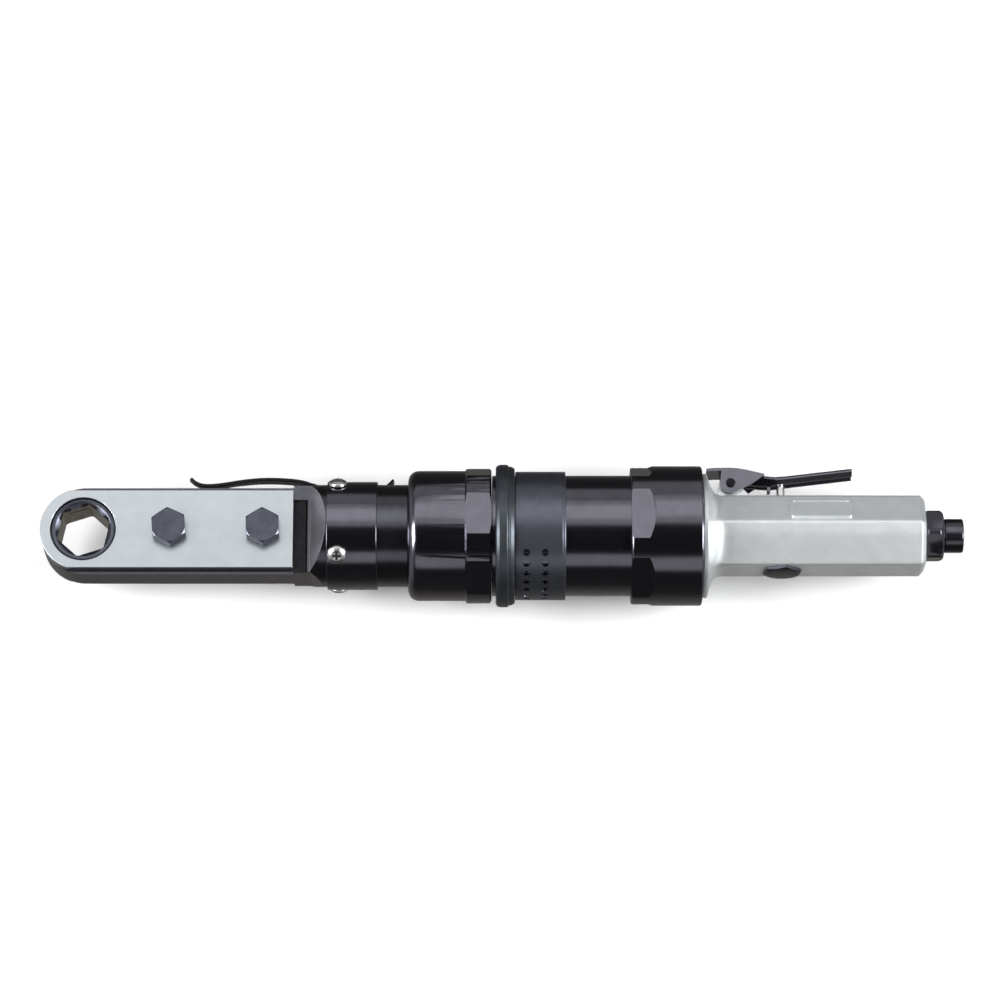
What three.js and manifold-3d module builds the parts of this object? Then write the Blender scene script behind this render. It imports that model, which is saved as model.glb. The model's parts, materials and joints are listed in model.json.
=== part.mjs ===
// Air ratchet with a long closed head: every piece is its own mesh. Millimetres, +Z up.
// The tool lies on its side. +X runs from the head to the air inlet, +Y towards the throttle lever and
// +Z out of the head's front plate. Stations along X are measured from the socket's centre, and the
// group at the end moves them to the frame's origin: middle of the length, tool axis at Y = 0, and
// Z = 0 at the lowest flat that the tool rests on.
import * as THREE from "three";
import { mergeVertices } from "three/addons/utils/BufferGeometryUtils.js";
import Module from "manifold-3d";

const wasm = await Module();
wasm.setup();

const GAP = 0.2; // between pieces that seat on each other
const RUN = 0.4; // round a piece that turns or slides
const DEG = Math.PI / 180;

// Head: two steel plates on a housing, with the socket ring between them
const SOCKET_FLATS = 19;
const SOCKET_TURN = 18 * DEG;
const SOCKET_RIM_RADIUS = 12.7;
const WHEEL_RADIUS = 14.4;
const WHEEL_TOOTH_HEIGHT = 0.8;
const WHEEL_TEETH = 36;
const WHEEL_THICKNESS = 10;
const PLATE_THICKNESS = 3;
const PLATE_HALF_WIDTH = 16.1;
const PLATE_END_RADIUS = 17.2;
const PLATE_REACH = 83.6;
const FRAME_HALF_WIDTH = 18;
const FRAME_THICKNESS = 13;
const FRAME_WALL = 3;
const BOLT_FLATS = 13;
const BOLT_HEAD_HEIGHT = 5.2;
const BOLT_SHANK_RADIUS = 3.9;
const BOLT_STATIONS = [34.3, 71.6];
const BOLT_TURNS = [35 * DEG, 32 * DEG];
const NUT_HEIGHT = 4.5;
const SPACER_WALL = 1.2;
const RIM_RECESS = 0.8;

// Neck of the head housing, collar and its screws
const BLOCK_LENGTH = 6.6;
const BLOCK_PAD_WIDTH = 6;
const BLOCK_RECESS = 2;
const BLOCK_LIP = 0.6;
const RAMP_LENGTH = 6;
const TUBE_RADIUS = 20.4;
const TUBE_LENGTH = 33;
const COLLAR_THICKNESS = 1;
const COLLAR_OFFSET = 0.8;
const COLLAR_LENGTH = 19.9;
const SCREW_OFFSET = 4.2;
const SCREW_HEAD_RADIUS = 3.7;
const SCREW_HEAD_HEIGHT = 2;
const SCREW_SHANK_RADIUS = 1.9;
const SCREW_SHANK_LENGTH = 6;
const SCREW_COUNT = 4;
const SCREW_CLOCKING = 53 * DEG;
const SCREW_SLOT_WIDTH = 0.9;
const SCREW_SLOT_DEPTH = 1.2;
const BEARING_OUTER_RADIUS = 11;
const BEARING_LENGTH = 11;
const BEARING_OFFSET = 2;

// Leaf lever along the head's upper edge
const LEAF_THICKNESS = 1.2;
const LEAF_WIDTH = 5;
const LEAF_CLEARANCE = 0.35;
const LEAF_TRAVEL = 1.5 * DEG;
const LEAF_FRONT_REACH = 65.5;
const LEAF_TAIL_REACH = 16.5;

// Gear case and its planetary gears
const CASE_RADIUS = 26;
const CASE_WALL = 3.8;
const CASE_SEAT = 1.9;
const CASE_ROUND_LENGTH = 22.7;
const CASE_HEX_LENGTH = 10.5;
const CASE_HEX_FLATS = 51.8;
const CASE_HEX_CORNER_RADIUS = 27.4;
const CASE_FRONT_WALL = 2.6;
const MODULE = 1;
const SUN_TEETH = 12;
const PLANET_TEETH = 12;
const RING_TEETH = 36;
const GEAR_WIDTH = 10;
const CARRIER_THICKNESS = 4;
const PLANET_COUNT = 3;
const PLANET_PIN_RADIUS = 2.4;
const CARRIER_RIM = 2.6;

// Crankshaft, rocker and pawl
const CRANK_THROW = 3;
const CRANK_PIN_RADIUS = 2.2;
const CRANK_PIN_LENGTH = 9;
const CRANK_BUSHING_RADIUS = 3.6;
const CRANK_BUSHING_LENGTH = 6.5;
const CRANK_JOURNAL_RADIUS = 6.5;
const CRANK_CLEARANCE = 1.2;
const ROCKER_THICKNESS = 10;
const ROCKER_SWING = 4 * DEG;
const ROCKER_HUB_WALL = 3;
const FORK_WALL = 2.4;
const FORK_ROOT = 4;
const YOKE_WALL = 2;
const PAWL_PIN_RADIUS = 1.9;
const PAWL_PIN_OFFSET = 2.5;
const PAWL_HALF_WIDTH = 3;
const PAWL_NOSE_HALF_WIDTH = 2.2;
const PAWL_TAIL_LENGTH = 2.2;
const PAWL_STANDOFF = 0.6;

// Air motor
const BUMPER_GAP = 1.7;
const BUMPER_RADIUS = 28.5;
const BUMPER_SHOULDER = 1.6;
const BUMPER_LENGTH = 7.6;
const SLEEVE_RADIUS = 25.7;
const SLEEVE_LENGTH = 20;
const EXHAUST_HOLE_RADIUS = 1.45;
const EXHAUST_COLUMNS = [4.4, 11.8];
const EXHAUST_ROWS = 12;
const EXHAUST_PITCH = 10.5 * DEG;
const MOTOR_RADIUS = 24.1;
const MOTOR_WALL = 3.1;
const MOTOR_SHOWN_LENGTH = 26;
const END_PLATE_THICKNESS = 5;
const CYLINDER_LENGTH = 52;
const CYLINDER_BORE_RADIUS = 17;
const ROTOR_RADIUS = 15.2;
const ROTOR_OFFSET = 1.5;
const ROTOR_SHAFT_RADIUS = 4;
const ROTOR_BEARING_RADIUS = 9;
const VANE_COUNT = 5;
const VANE_THICKNESS = 1.6;
const VANE_DEPTH = 8;
const EXHAUST_PORT_RADIUS = 2.4;
const EXHAUST_PORTS = 3;
const NUT_RADIUS = 28;
const NUT_LENGTH = 28.4;
const NUT_FLATS = 51.8;
const NUT_FLAT_LENGTH = 9.6;
const NUT_CHAMFER = 1;

// Handle, throttle and air inlet
const FLANGE_RADIUS = 24.8;
const FLANGE_LENGTH = 2.2;
const FLARE_LENGTH = 9;
const SPIGOT_LENGTH = 14;
const GRIP_FLATS = 29;
const GRIP_LENGTH = 77.6;
const GRIP_CHAMFER = 2;
const AIRWAY_RADIUS = 4.2;
const LUG_WIDTH = 8.6;
const LUG_FRONT = 6;
const LUG_BACK = 9.5;
const LEVER_PIVOT_OFFSET = 9.4;
const LEVER_PIVOT_RISE = 5.9;
const LEVER_EAR_RADIUS = 4.2;
const LEVER_SHEET = 1.2;
const LEVER_WIDTH = 12;
const LEVER_SIDE_HEIGHT = 4.6;
const PIN_RADIUS = 1.5;
const PIN_OVERHANG = 0.6;
const VALVE_OFFSET = 29.6;
const STEM_RADIUS = 1.6;
const STEM_SHOWN_LENGTH = 7.2;
const STEM_TIP_LENGTH = 0.5;
const VALVE_BORE_END = 5;
const VALVE_BORE_RADIUS = 4.6;
const VALVE_HEAD_RADIUS = 3.4;
const VALVE_HEAD_LENGTH = 4;
const VALVE_CAP_FLATS = 14;
const VALVE_CAP_HEIGHT = 1.5;
const VALVE_CAP_THREAD_LENGTH = 4;
const SPRING_TURNS = 5;
const SPRING_WIRE_RADIUS = 0.35;
const NAME_PLATE_OFFSET = 24;
const NAME_PLATE_LENGTH = 24;
const NAME_PLATE_WIDTH = 10;
const NAME_PLATE_THICKNESS = 0.6;
const INLET_FLATS = 19;
const INLET_HEX_LENGTH = 7.3;
const INLET_STUB_RADIUS = 6.8;
const INLET_STUB_LENGTH = 8;
const INLET_THREAD_RADIUS = 7.4;
const INLET_THREAD_LENGTH = 12;
const INLET_BORE_RADIUS = 4.4;
const INLET_CORNER_RADIUS = 10.5;
const SCREEN_RADIUS = 7;
const SCREEN_THICKNESS = 2;
const SCREEN_HOLE_RADIUS = 0.9;
const SCREEN_HOLE_CIRCLE = 3.6;

// Stations along the tool, each from the one before
const blockStart = PLATE_REACH + GAP;
const rampStart = blockStart + BLOCK_LENGTH;
const tubeStart = rampStart + RAMP_LENGTH;
const caseStart = tubeStart + TUBE_LENGTH;
const hexStart = caseStart + CASE_ROUND_LENGTH;
const caseEnd = hexStart + CASE_HEX_LENGTH;
const bumperStart = caseEnd + BUMPER_GAP;
const sleeveStart = bumperStart + BUMPER_LENGTH + GAP;
const sleeveEnd = sleeveStart + SLEEVE_LENGTH;
const nutStart = sleeveEnd + MOTOR_SHOWN_LENGTH;
const nutEnd = nutStart + NUT_LENGTH;
const flangeStart = nutEnd + GAP;
const gripStart = flangeStart + FLANGE_LENGTH + FLARE_LENGTH;
const gripEnd = gripStart + GRIP_LENGTH;
const inletStart = gripEnd + GAP;
const stubStart = inletStart + INLET_HEX_LENGTH;
const toolEnd = stubStart + INLET_STUB_LENGTH;

const collarStart = tubeStart + COLLAR_OFFSET;
const bearingStart = tubeStart + BEARING_OFFSET;
const rockerEnd = blockStart - 1;
const crankStart = rockerEnd + CRANK_CLEARANCE;
const carrierStart = caseStart + CASE_FRONT_WALL + GAP;
const gearStart = carrierStart + CARRIER_THICKNESS + RUN;
const gearEnd = gearStart + GEAR_WIDTH;
const frontPlateStart = caseEnd + GAP;
const cylinderStart = frontPlateStart + END_PLATE_THICKNESS + GAP;
const cylinderEnd = cylinderStart + CYLINDER_LENGTH;
const rearPlateEnd = cylinderEnd + GAP + END_PLATE_THICKNESS;
const spigotStart = nutEnd - SPIGOT_LENGTH;
const spigotStep = nutEnd - SPIGOT_LENGTH / 2;
const collarInner = TUBE_RADIUS + GAP;
const collarOuter = collarInner + COLLAR_THICKNESS;
const motorBoreRadius = MOTOR_RADIUS - MOTOR_WALL;
const caseBoreRadius = CASE_RADIUS - CASE_WALL;
const gripHalf = GRIP_FLATS / 2;
const pivotX = flangeStart + FLANGE_LENGTH + LEVER_PIVOT_OFFSET;
const pivotY = gripHalf + LEVER_PIVOT_RISE;
const valveX = flangeStart + FLANGE_LENGTH + VALVE_OFFSET;
const faceZ = FRAME_THICKNESS / 2 + GAP + PLATE_THICKNESS;

// A closed geometry as a solid, and back.
function solid(geometry) {
  const bare = geometry.index ? geometry.toNonIndexed() : geometry.clone();
  bare.deleteAttribute("normal");
  bare.deleteAttribute("uv");
  const merged = mergeVertices(bare, 1e-4);
  const index = merged.index.array;
  const kept = [];
  for (let i = 0; i < index.length; i += 3) {
    const [a, b, c] = [index[i], index[i + 1], index[i + 2]];
    if (a !== b && b !== c && c !== a) kept.push(a, b, c);
  }
  return new wasm.Manifold(
    new wasm.Mesh({
      numProp: 3,
      vertProperties: merged.attributes.position.array,
      triVerts: new Uint32Array(kept),
    }),
  );
}

function geometryOf(made) {
  const mesh = made.getMesh();
  const positions = new Float32Array(mesh.numVert * 3);
  for (let i = 0; i < mesh.numVert; i++) {
    for (let k = 0; k < 3; k++) positions[i * 3 + k] = mesh.vertProperties[i * mesh.numProp + k];
  }
  const geometry = new THREE.BufferGeometry();
  geometry.setAttribute("position", new THREE.BufferAttribute(positions, 3));
  geometry.setIndex(new THREE.BufferAttribute(mesh.triVerts, 1));
  geometry.computeVertexNormals();
  return geometry;
}

// A round piece about the tool's axis from [station, radius] points. Its flats stand at the radius.
function turned(profile, sides = 24) {
  const grow = 1 / Math.cos(Math.PI / sides);
  const points = profile.map(([x, r]) => new THREE.Vector2(r * grow, x));
  return solid(new THREE.LatheGeometry(points, sides, Math.PI / sides).rotateZ(-Math.PI / 2));
}

const rod = (x0, x1, radius, sides = 16) =>
  turned([[x0, 0], [x0, radius], [x1, radius], [x1, 0]], sides);

const hollowRod = (x0, x1, inner, outer, sides = 24) =>
  rod(x0, x1, outer, sides).subtract(rod(x0 - 1, x1 + 1, inner, sides));

// Extrusions of a shape: along Z (drawn in X, Y), along X (drawn in Y, Z) and along Y (drawn in Z, X).
const X = new THREE.Vector3(1, 0, 0);
const Y = new THREE.Vector3(0, 1, 0);
const Z = new THREE.Vector3(0, 0, 1);

function extruded(shape, from, to, u, v, w) {
  const made = new THREE.ExtrudeGeometry(shape, { depth: to - from, bevelEnabled: false, curveSegments: 16 });
  const axes = new THREE.Matrix4().makeBasis(u, v, w);
  return solid(made.translate(0, 0, from).applyMatrix4(axes));
}

const alongX = (shape, x0, x1) => extruded(shape, x0, x1, Y, Z, X);
const alongY = (shape, y0, y1) => extruded(shape, y0, y1, Z, X, Y);
const alongZ = (shape, z0, z1) => extruded(shape, z0, z1, X, Y, Z);

// A shape with straight sides through [u, v] points.
const outline = (points) => new THREE.Shape(points.map(([u, v]) => new THREE.Vector2(u, v)));

function polygon(sides, radius, turn = 0, cx = 0, cy = 0) {
  const points = [];
  for (let i = 0; i < sides; i++) {
    const angle = turn + (i * 2 * Math.PI) / sides;
    points.push(new THREE.Vector2(cx + radius * Math.cos(angle), cy + radius * Math.sin(angle)));
  }
  return new THREE.Shape(points);
}

const hexagon = (flats, turn = 0, cx = 0, cy = 0) => polygon(6, flats / Math.sqrt(3), turn, cx, cy);

const rectangle = (u0, u1, v0, v1) => outline([[u0, v0], [u1, v0], [u1, v1], [u0, v1]]);
const box = (x0, x1, y0, y1, z0, z1) => alongZ(rectangle(x0, x1, y0, y1), z0, z1);
const post = (x, y, z0, z1, radius, sides = 16) => alongZ(polygon(sides, radius, 0, x, y), z0, z1);

function withHole(shape, hole) {
  shape.holes.push(new THREE.Path(hole.getPoints()));
  return shape;
}

// A toothed outline: straight-flanked teeth, their tips centred on multiples of the pitch plus turn.
// A tooth's width at its tip and at its root are shares of the pitch.
function toothed(teeth, tipRadius, rootRadius, tipShare, rootShare, turn = 0) {
  const points = [];
  for (let i = 0; i < teeth; i++) {
    for (const [share, radius] of [
      [-rootShare / 2, rootRadius],
      [-tipShare / 2, tipRadius],
      [tipShare / 2, tipRadius],
      [rootShare / 2, rootRadius],
    ]) {
      const angle = turn + ((i + share) * 2 * Math.PI) / teeth;
      points.push([radius * Math.cos(angle), radius * Math.sin(angle)]);
    }
  }
  return outline(points);
}

// Points on a smooth curve through the given ones, and a strip of even depth above a line.
const curveThrough = (points, steps) =>
  new THREE.SplineCurve(points.map(([u, v]) => new THREE.Vector2(u, v)))
    .getPoints(steps)
    .map((p) => [p.x, p.y]);
const strip = (line, depth) => outline([...line, ...line.map(([u, v]) => [u, v + depth]).reverse()]);

const moved = (made, x, y, z) => made.translate([x, y, z]);
const turnedX = (made, angle) => made.rotate([angle / DEG, 0, 0]);

// Materials
const material = (color, roughness, metalness) =>
  new THREE.MeshStandardMaterial({ color, roughness, metalness });
const zincPlate = material(0xd1d6da, 0.35, 0.9);
const blackOxide = material(0x2a2c31, 0.4, 0.8);
const darkSteel = material(0x4a4844, 0.4, 0.9);
const blackPaint = material(0x1c1d20, 0.35, 0.3);
const matteBlack = material(0x30343a, 0.7, 0.1);
const castAluminium = material(0xc6cccb, 0.3, 0.9);
const nickel = material(0xe0e0dc, 0.2, 1);
const gearSteel = material(0x8d9094, 0.35, 1);
const bronze = material(0xb08d57, 0.4, 1);
const phenolic = material(0x7a4a2a, 0.6, 0);
const springSteel = material(0x17181a, 0.35, 0.8);

const tool = new THREE.Group();
tool.position.set(-(toolEnd - PLATE_END_RADIUS) / 2, 0, BUMPER_RADIUS);

function add(name, made, look) {
  const mesh = new THREE.Mesh(geometryOf(made), look);
  mesh.name = name;
  tool.add(mesh);
}

// Outline of the head: a round end about the socket and straight sides to the neck.
function headOutline(halfWidth, endRadius, reach) {
  const start = Math.asin(Math.min(1, halfWidth / endRadius));
  const shape = new THREE.Shape();
  shape.moveTo(reach, -halfWidth);
  shape.lineTo(reach, halfWidth);
  shape.lineTo(-Math.cos(start) * endRadius, halfWidth);
  shape.absarc(0, 0, endRadius, Math.PI - start, Math.PI + start, false);
  return shape;
}

function headPlate(z0) {
  const shape = headOutline(PLATE_HALF_WIDTH, PLATE_END_RADIUS, PLATE_REACH);
  withHole(shape, polygon(32, SOCKET_RIM_RADIUS + RUN));
  for (const x of BOLT_STATIONS) withHole(shape, polygon(16, BOLT_SHANK_RADIUS + GAP, 0, x));
  return alongZ(shape, z0, z0 + PLATE_THICKNESS);
}

add("front_plate", headPlate(FRAME_THICKNESS / 2 + GAP), zincPlate);
add("back_plate", headPlate(-faceZ), zincPlate);

// The horseshoe of the housing, between the plates.
function horseshoe() {
  const half = FRAME_THICKNESS / 2;
  const cavityHalf = FRAME_HALF_WIDTH - FRAME_WALL;
  const round = alongZ(headOutline(FRAME_HALF_WIDTH, FRAME_HALF_WIDTH, blockStart + GAP), -half, half);
  const cavity = alongZ(headOutline(cavityHalf, cavityHalf, blockStart), -half - 1, half + 1);
  return moved(round, FRAME_HALF_WIDTH - PLATE_END_RADIUS, 0, 0).subtract(cavity);
}

// The neck: a tube that is cut down by two ramps to the height of the plates' outer faces, and by two
// more to the head's width, with a recess behind the front plate.
function neck() {
  const beyond = TUBE_RADIUS + 1;
  const overrun = RAMP_LENGTH / (TUBE_RADIUS - faceZ);
  const bothSides = (points) => [...points, ...points.map(([half, x]) => [-half, x]).reverse()];
  const heights = bothSides([
    [faceZ, blockStart - 1],
    [faceZ, rampStart],
    [beyond, tubeStart + overrun],
    [beyond, caseStart],
  ]);
  const widths = bothSides([
    [FRAME_HALF_WIDTH, blockStart - 1],
    [FRAME_HALF_WIDTH, rampStart],
    [beyond, tubeStart],
    [beyond, caseStart],
  ]);
  const recess = box(
    blockStart - 1,
    rampStart - BLOCK_LIP,
    -TUBE_RADIUS,
    FRAME_HALF_WIDTH - BLOCK_PAD_WIDTH,
    faceZ - BLOCK_RECESS,
    faceZ + 1,
  );
  return rod(blockStart, caseStart - GAP, TUBE_RADIUS, 32)
    .intersect(alongY(outline(heights), -beyond, beyond))
    .intersect(alongZ(outline(widths.map(([y, x]) => [x, y])), -beyond, beyond))
    .subtract(recess);
}

function headHousing() {
  const grooveHalf = LEAF_WIDTH / 2 + RUN;
  const grooveFloor = TUBE_RADIUS - LEAF_THICKNESS - LEAF_CLEARANCE - 1;
  const groove = box(rampStart - 1, caseStart - 4, grooveFloor, TUBE_RADIUS + 2, -grooveHalf, grooveHalf);
  let housing = horseshoe()
    .add(neck())
    .subtract(groove)
    .subtract(rod(blockStart - 1, bearingStart + 1, CRANK_THROW + CRANK_BUSHING_RADIUS + RUN, 24))
    .subtract(rod(bearingStart, caseStart + 1, BEARING_OUTER_RADIUS + GAP, 24));
  for (let i = 0; i < SCREW_COUNT; i++) {
    const hole = rod(-SCREW_SHANK_LENGTH - 0.5, 1, SCREW_SHANK_RADIUS + GAP, 8);
    housing = housing.subtract(screwPlace(hole, i));
  }
  return housing;
}

// Places a piece drawn along X, its seat at X = 0, as collar screw i pointing out from the collar.
function screwPlace(made, i) {
  const seated = moved(made.rotate([0, -90, 0]), collarStart + SCREW_OFFSET, 0, collarOuter);
  return turnedX(seated, -SCREW_CLOCKING + (i * 2 * Math.PI) / SCREW_COUNT);
}

add("head_housing", headHousing(), blackPaint);

// Socket ring: hexagonal drive hole, two round rims in the plates and a fine-toothed wheel between.
function socketRing() {
  const half = WHEEL_THICKNESS / 2;
  const rimHalf = faceZ - RIM_RECESS;
  const teeth = toothed(WHEEL_TEETH, WHEEL_RADIUS, WHEEL_RADIUS - WHEEL_TOOTH_HEIGHT, 0.3, 0.9);
  const wheel = alongZ(teeth, -half, half);
  return wheel
    .add(post(0, 0, -rimHalf, rimHalf, SOCKET_RIM_RADIUS, 32))
    .subtract(alongZ(hexagon(SOCKET_FLATS, SOCKET_TURN), -rimHalf - 1, rimHalf + 1));
}
add("socket_ring", socketRing(), darkSteel);

// Rocker: swings on the first bolt's spacer, forks past the second and ends at the crank. Its front
// end is a yoke that holds the pawl.
const spacerRadius = BOLT_SHANK_RADIUS + GAP + SPACER_WALL;
const rockerHubRadius = spacerRadius + RUN + ROCKER_HUB_WALL;
const pawlX = BOLT_STATIONS[0] - rockerHubRadius - PAWL_PIN_OFFSET;
const rockerHalf = ROCKER_THICKNESS / 2;
function rocker() {
  const swingAtSecond = (BOLT_STATIONS[1] - BOLT_STATIONS[0]) * Math.sin(ROCKER_SWING);
  const forkInner = spacerRadius + swingAtSecond + RUN;
  const forkOuter = forkInner + FORK_WALL;
  const forkStart = BOLT_STATIONS[1] - spacerRadius - RUN - FORK_ROOT;
  const cutHalf = rockerHalf + 1;
  const tines = outline([
    [BOLT_STATIONS[0], -rockerHubRadius],
    [forkStart, -forkOuter],
    [rockerEnd, -forkOuter],
    [rockerEnd, forkOuter],
    [forkStart, forkOuter],
    [BOLT_STATIONS[0], rockerHubRadius],
  ]);
  const yokeHalf = rockerHubRadius * 0.8;
  const yoke = box(pawlX - YOKE_WALL, BOLT_STATIONS[0], -yokeHalf, yokeHalf, -rockerHalf, rockerHalf);
  const pawlSlot = box(
    pawlX - YOKE_WALL - 1,
    pawlX + PAWL_TAIL_LENGTH + YOKE_WALL / 2,
    -rockerHubRadius,
    rockerHubRadius,
    -rockerHalf + YOKE_WALL,
    rockerHalf - YOKE_WALL,
  );
  return alongZ(tines, -rockerHalf, rockerHalf)
    .add(post(BOLT_STATIONS[0], 0, -rockerHalf, rockerHalf, rockerHubRadius, 24))
    .add(yoke)
    .subtract(pawlSlot)
    .subtract(box(forkStart + FORK_WALL, rockerEnd + 1, -forkInner, forkInner, -cutHalf, cutHalf))
    .subtract(post(BOLT_STATIONS[0], 0, -cutHalf, cutHalf, spacerRadius + RUN, 24))
    .subtract(post(pawlX, 0, -cutHalf, cutHalf, PAWL_PIN_RADIUS + GAP, 12));
}
add("rocker", rocker(), gearSteel);

function pawl() {
  const half = rockerHalf - YOKE_WALL - RUN;
  const noseX = WHEEL_RADIUS + PAWL_STANDOFF;
  const shape = outline([
    [noseX, -PAWL_NOSE_HALF_WIDTH],
    [pawlX, -PAWL_HALF_WIDTH],
    [pawlX + PAWL_TAIL_LENGTH, -PAWL_HALF_WIDTH + 1],
    [pawlX + PAWL_TAIL_LENGTH, PAWL_HALF_WIDTH - 1],
    [pawlX, PAWL_HALF_WIDTH],
    [noseX, PAWL_NOSE_HALF_WIDTH],
  ]);
  return alongZ(shape, -half, half).subtract(post(pawlX, 0, -half - 1, half + 1, PAWL_PIN_RADIUS + GAP, 12));
}
add("pawl", pawl(), gearSteel);
add("pawl_pin", post(pawlX, 0, -rockerHalf, rockerHalf, PAWL_PIN_RADIUS, 12), nickel);

BOLT_STATIONS.forEach((x, i) => {
  const number = i + 1;
  const threadEnd = -faceZ - GAP - NUT_HEIGHT;
  const spacer = post(x, 0, -FRAME_THICKNESS / 2, FRAME_THICKNESS / 2, spacerRadius, 20);
  const bore = post(x, 0, -FRAME_THICKNESS, FRAME_THICKNESS, BOLT_SHANK_RADIUS + GAP, 20);
  add("bolt_spacer_" + number, spacer.subtract(bore), gearSteel);
  const head = alongZ(hexagon(BOLT_FLATS, BOLT_TURNS[i], x), faceZ + GAP, faceZ + GAP + BOLT_HEAD_HEIGHT);
  const shank = post(x, 0, threadEnd - 1, faceZ + GAP + 1, BOLT_SHANK_RADIUS, 16);
  add("head_bolt_" + number, head.add(shank), blackOxide);
  const nut = withHole(hexagon(BOLT_FLATS, BOLT_TURNS[i], x), polygon(16, BOLT_SHANK_RADIUS + GAP, 0, x));
  add("head_nut_" + number, alongZ(nut, threadEnd, -faceZ - GAP), blackOxide);
});

// Collar round the neck and its four pan-head screws.
function collar() {
  let ring = hollowRod(collarStart, collarStart + COLLAR_LENGTH, collarInner, collarOuter, 32);
  for (let i = 0; i < SCREW_COUNT; i++) {
    const hole = rod(-COLLAR_THICKNESS - 1, 1, SCREW_SHANK_RADIUS + GAP, 8);
    ring = ring.subtract(screwPlace(hole, i));
  }
  return ring;
}
add("collar", collar(), blackPaint);

function panHeadScrew() {
  const seat = GAP;
  const top = seat + SCREW_HEAD_HEIGHT;
  const head = turned(
    [
      [seat, 0],
      [seat, SCREW_HEAD_RADIUS],
      [seat + SCREW_HEAD_HEIGHT * 0.5, SCREW_HEAD_RADIUS],
      [top - 0.3, SCREW_HEAD_RADIUS * 0.75],
      [top, SCREW_HEAD_RADIUS * 0.4],
      [top, 0],
    ],
    16,
  );
  const shank = rod(-SCREW_SHANK_LENGTH, seat + 0.5, SCREW_SHANK_RADIUS, 8);
  const barHalf = SCREW_HEAD_RADIUS / 2;
  const bar = box(
    top - SCREW_SLOT_DEPTH,
    top + 1,
    -barHalf,
    barHalf,
    -SCREW_SLOT_WIDTH / 2,
    SCREW_SLOT_WIDTH / 2,
  );
  return head.add(shank).subtract(bar).subtract(turnedX(bar, Math.PI / 2));
}
for (let i = 0; i < SCREW_COUNT; i++) add("collar_screw_" + (i + 1), screwPlace(panHeadScrew(), i), nickel);

// Leaf lever: a bent spring-steel strip that passes under the collar.
const leafPivotX = collarStart + COLLAR_LENGTH / 2;
function leafLever() {
  const low = TUBE_RADIUS - LEAF_THICKNESS - LEAF_CLEARANCE;
  const lift = FRAME_HALF_WIDTH + LEAF_FRONT_REACH * Math.sin(LEAF_TRAVEL) + 0.5;
  const front = leafPivotX - LEAF_FRONT_REACH;
  const tail = leafPivotX + LEAF_TAIL_REACH;
  const line = curveThrough(
    [
      [front, lift + 3.2],
      [front + 3.6, lift + 1],
      [front + 9, lift],
      [front + 27, lift + 0.4],
      [front + 45, lift + 0.8],
      [leafPivotX - 12, low + 0.15],
      [leafPivotX - 6, low],
      [leafPivotX + 6, low],
      [tail - 4, low + 0.1],
      [tail, low + 1.6],
    ],
    22,
  );
  return alongZ(strip(line, LEAF_THICKNESS), -LEAF_WIDTH / 2, LEAF_WIDTH / 2);
}
add("leaf_lever", leafLever(), springSteel);

// Crankshaft: crank pin, journal and the planet carrier in one, turning about the tool's axis.
const carrierRadius = ((SUN_TEETH + PLANET_TEETH) * MODULE) / 2;
const journalStart = crankStart + CRANK_PIN_LENGTH;
const carrierEnd = carrierStart + CARRIER_THICKNESS;
function crankshaft() {
  const pin = moved(rod(crankStart, journalStart + 1, CRANK_PIN_RADIUS, 12), 0, CRANK_THROW, 0);
  const journal = rod(journalStart, carrierStart + 1, CRANK_JOURNAL_RADIUS, 24);
  const disc = rod(carrierStart, carrierEnd, carrierRadius + PLANET_PIN_RADIUS + CARRIER_RIM, 24);
  let made = pin.add(journal).add(disc);
  for (let i = 0; i < PLANET_COUNT; i++) {
    const hole = rod(carrierStart - 1, carrierEnd + 1, PLANET_PIN_RADIUS + GAP, 12);
    made = made.subtract(turnedX(moved(hole, 0, carrierRadius, 0), (i * 2 * Math.PI) / PLANET_COUNT));
  }
  return made;
}
add("crankshaft", crankshaft(), gearSteel);
const bushingEnd = crankStart + CRANK_BUSHING_LENGTH;
const bushing = hollowRod(crankStart, bushingEnd, CRANK_PIN_RADIUS + GAP, CRANK_BUSHING_RADIUS, 16);
add("crank_bushing", moved(bushing, 0, CRANK_THROW, 0), bronze);
for (const [name, start] of [
  ["crank_bearing_front", bearingStart + GAP],
  ["crank_bearing_rear", caseStart - GAP - BEARING_LENGTH],
]) {
  const end = start + BEARING_LENGTH;
  add(name, hollowRod(start, end, CRANK_JOURNAL_RADIUS + GAP, BEARING_OUTER_RADIUS, 24), gearSteel);
}

// Gear case: a cup with a round front, a band of flats for a wrench, and a bore for the ring gear.
function gearCase() {
  const cup = turned(
    [
      [caseStart, 0],
      [caseStart, CASE_RADIUS - 3.4],
      [caseStart + 1, CASE_RADIUS - 1.2],
      [caseStart + 3.4, CASE_RADIUS],
      [hexStart + 1, CASE_RADIUS],
      [hexStart + 1, 0],
    ],
    32,
  );
  const band = alongX(hexagon(CASE_HEX_FLATS, 0), hexStart, caseEnd).intersect(
    rod(hexStart - 1, caseEnd + 1, CASE_HEX_CORNER_RADIUS, 36),
  );
  return cup
    .add(band)
    .subtract(rod(caseStart + CASE_FRONT_WALL, caseEnd + 1, caseBoreRadius, 36))
    .subtract(rod(caseStart - 1, caseStart + CASE_FRONT_WALL + 1, BEARING_OUTER_RADIUS, 24));
}
add("gear_case", gearCase(), blackPaint);

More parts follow.
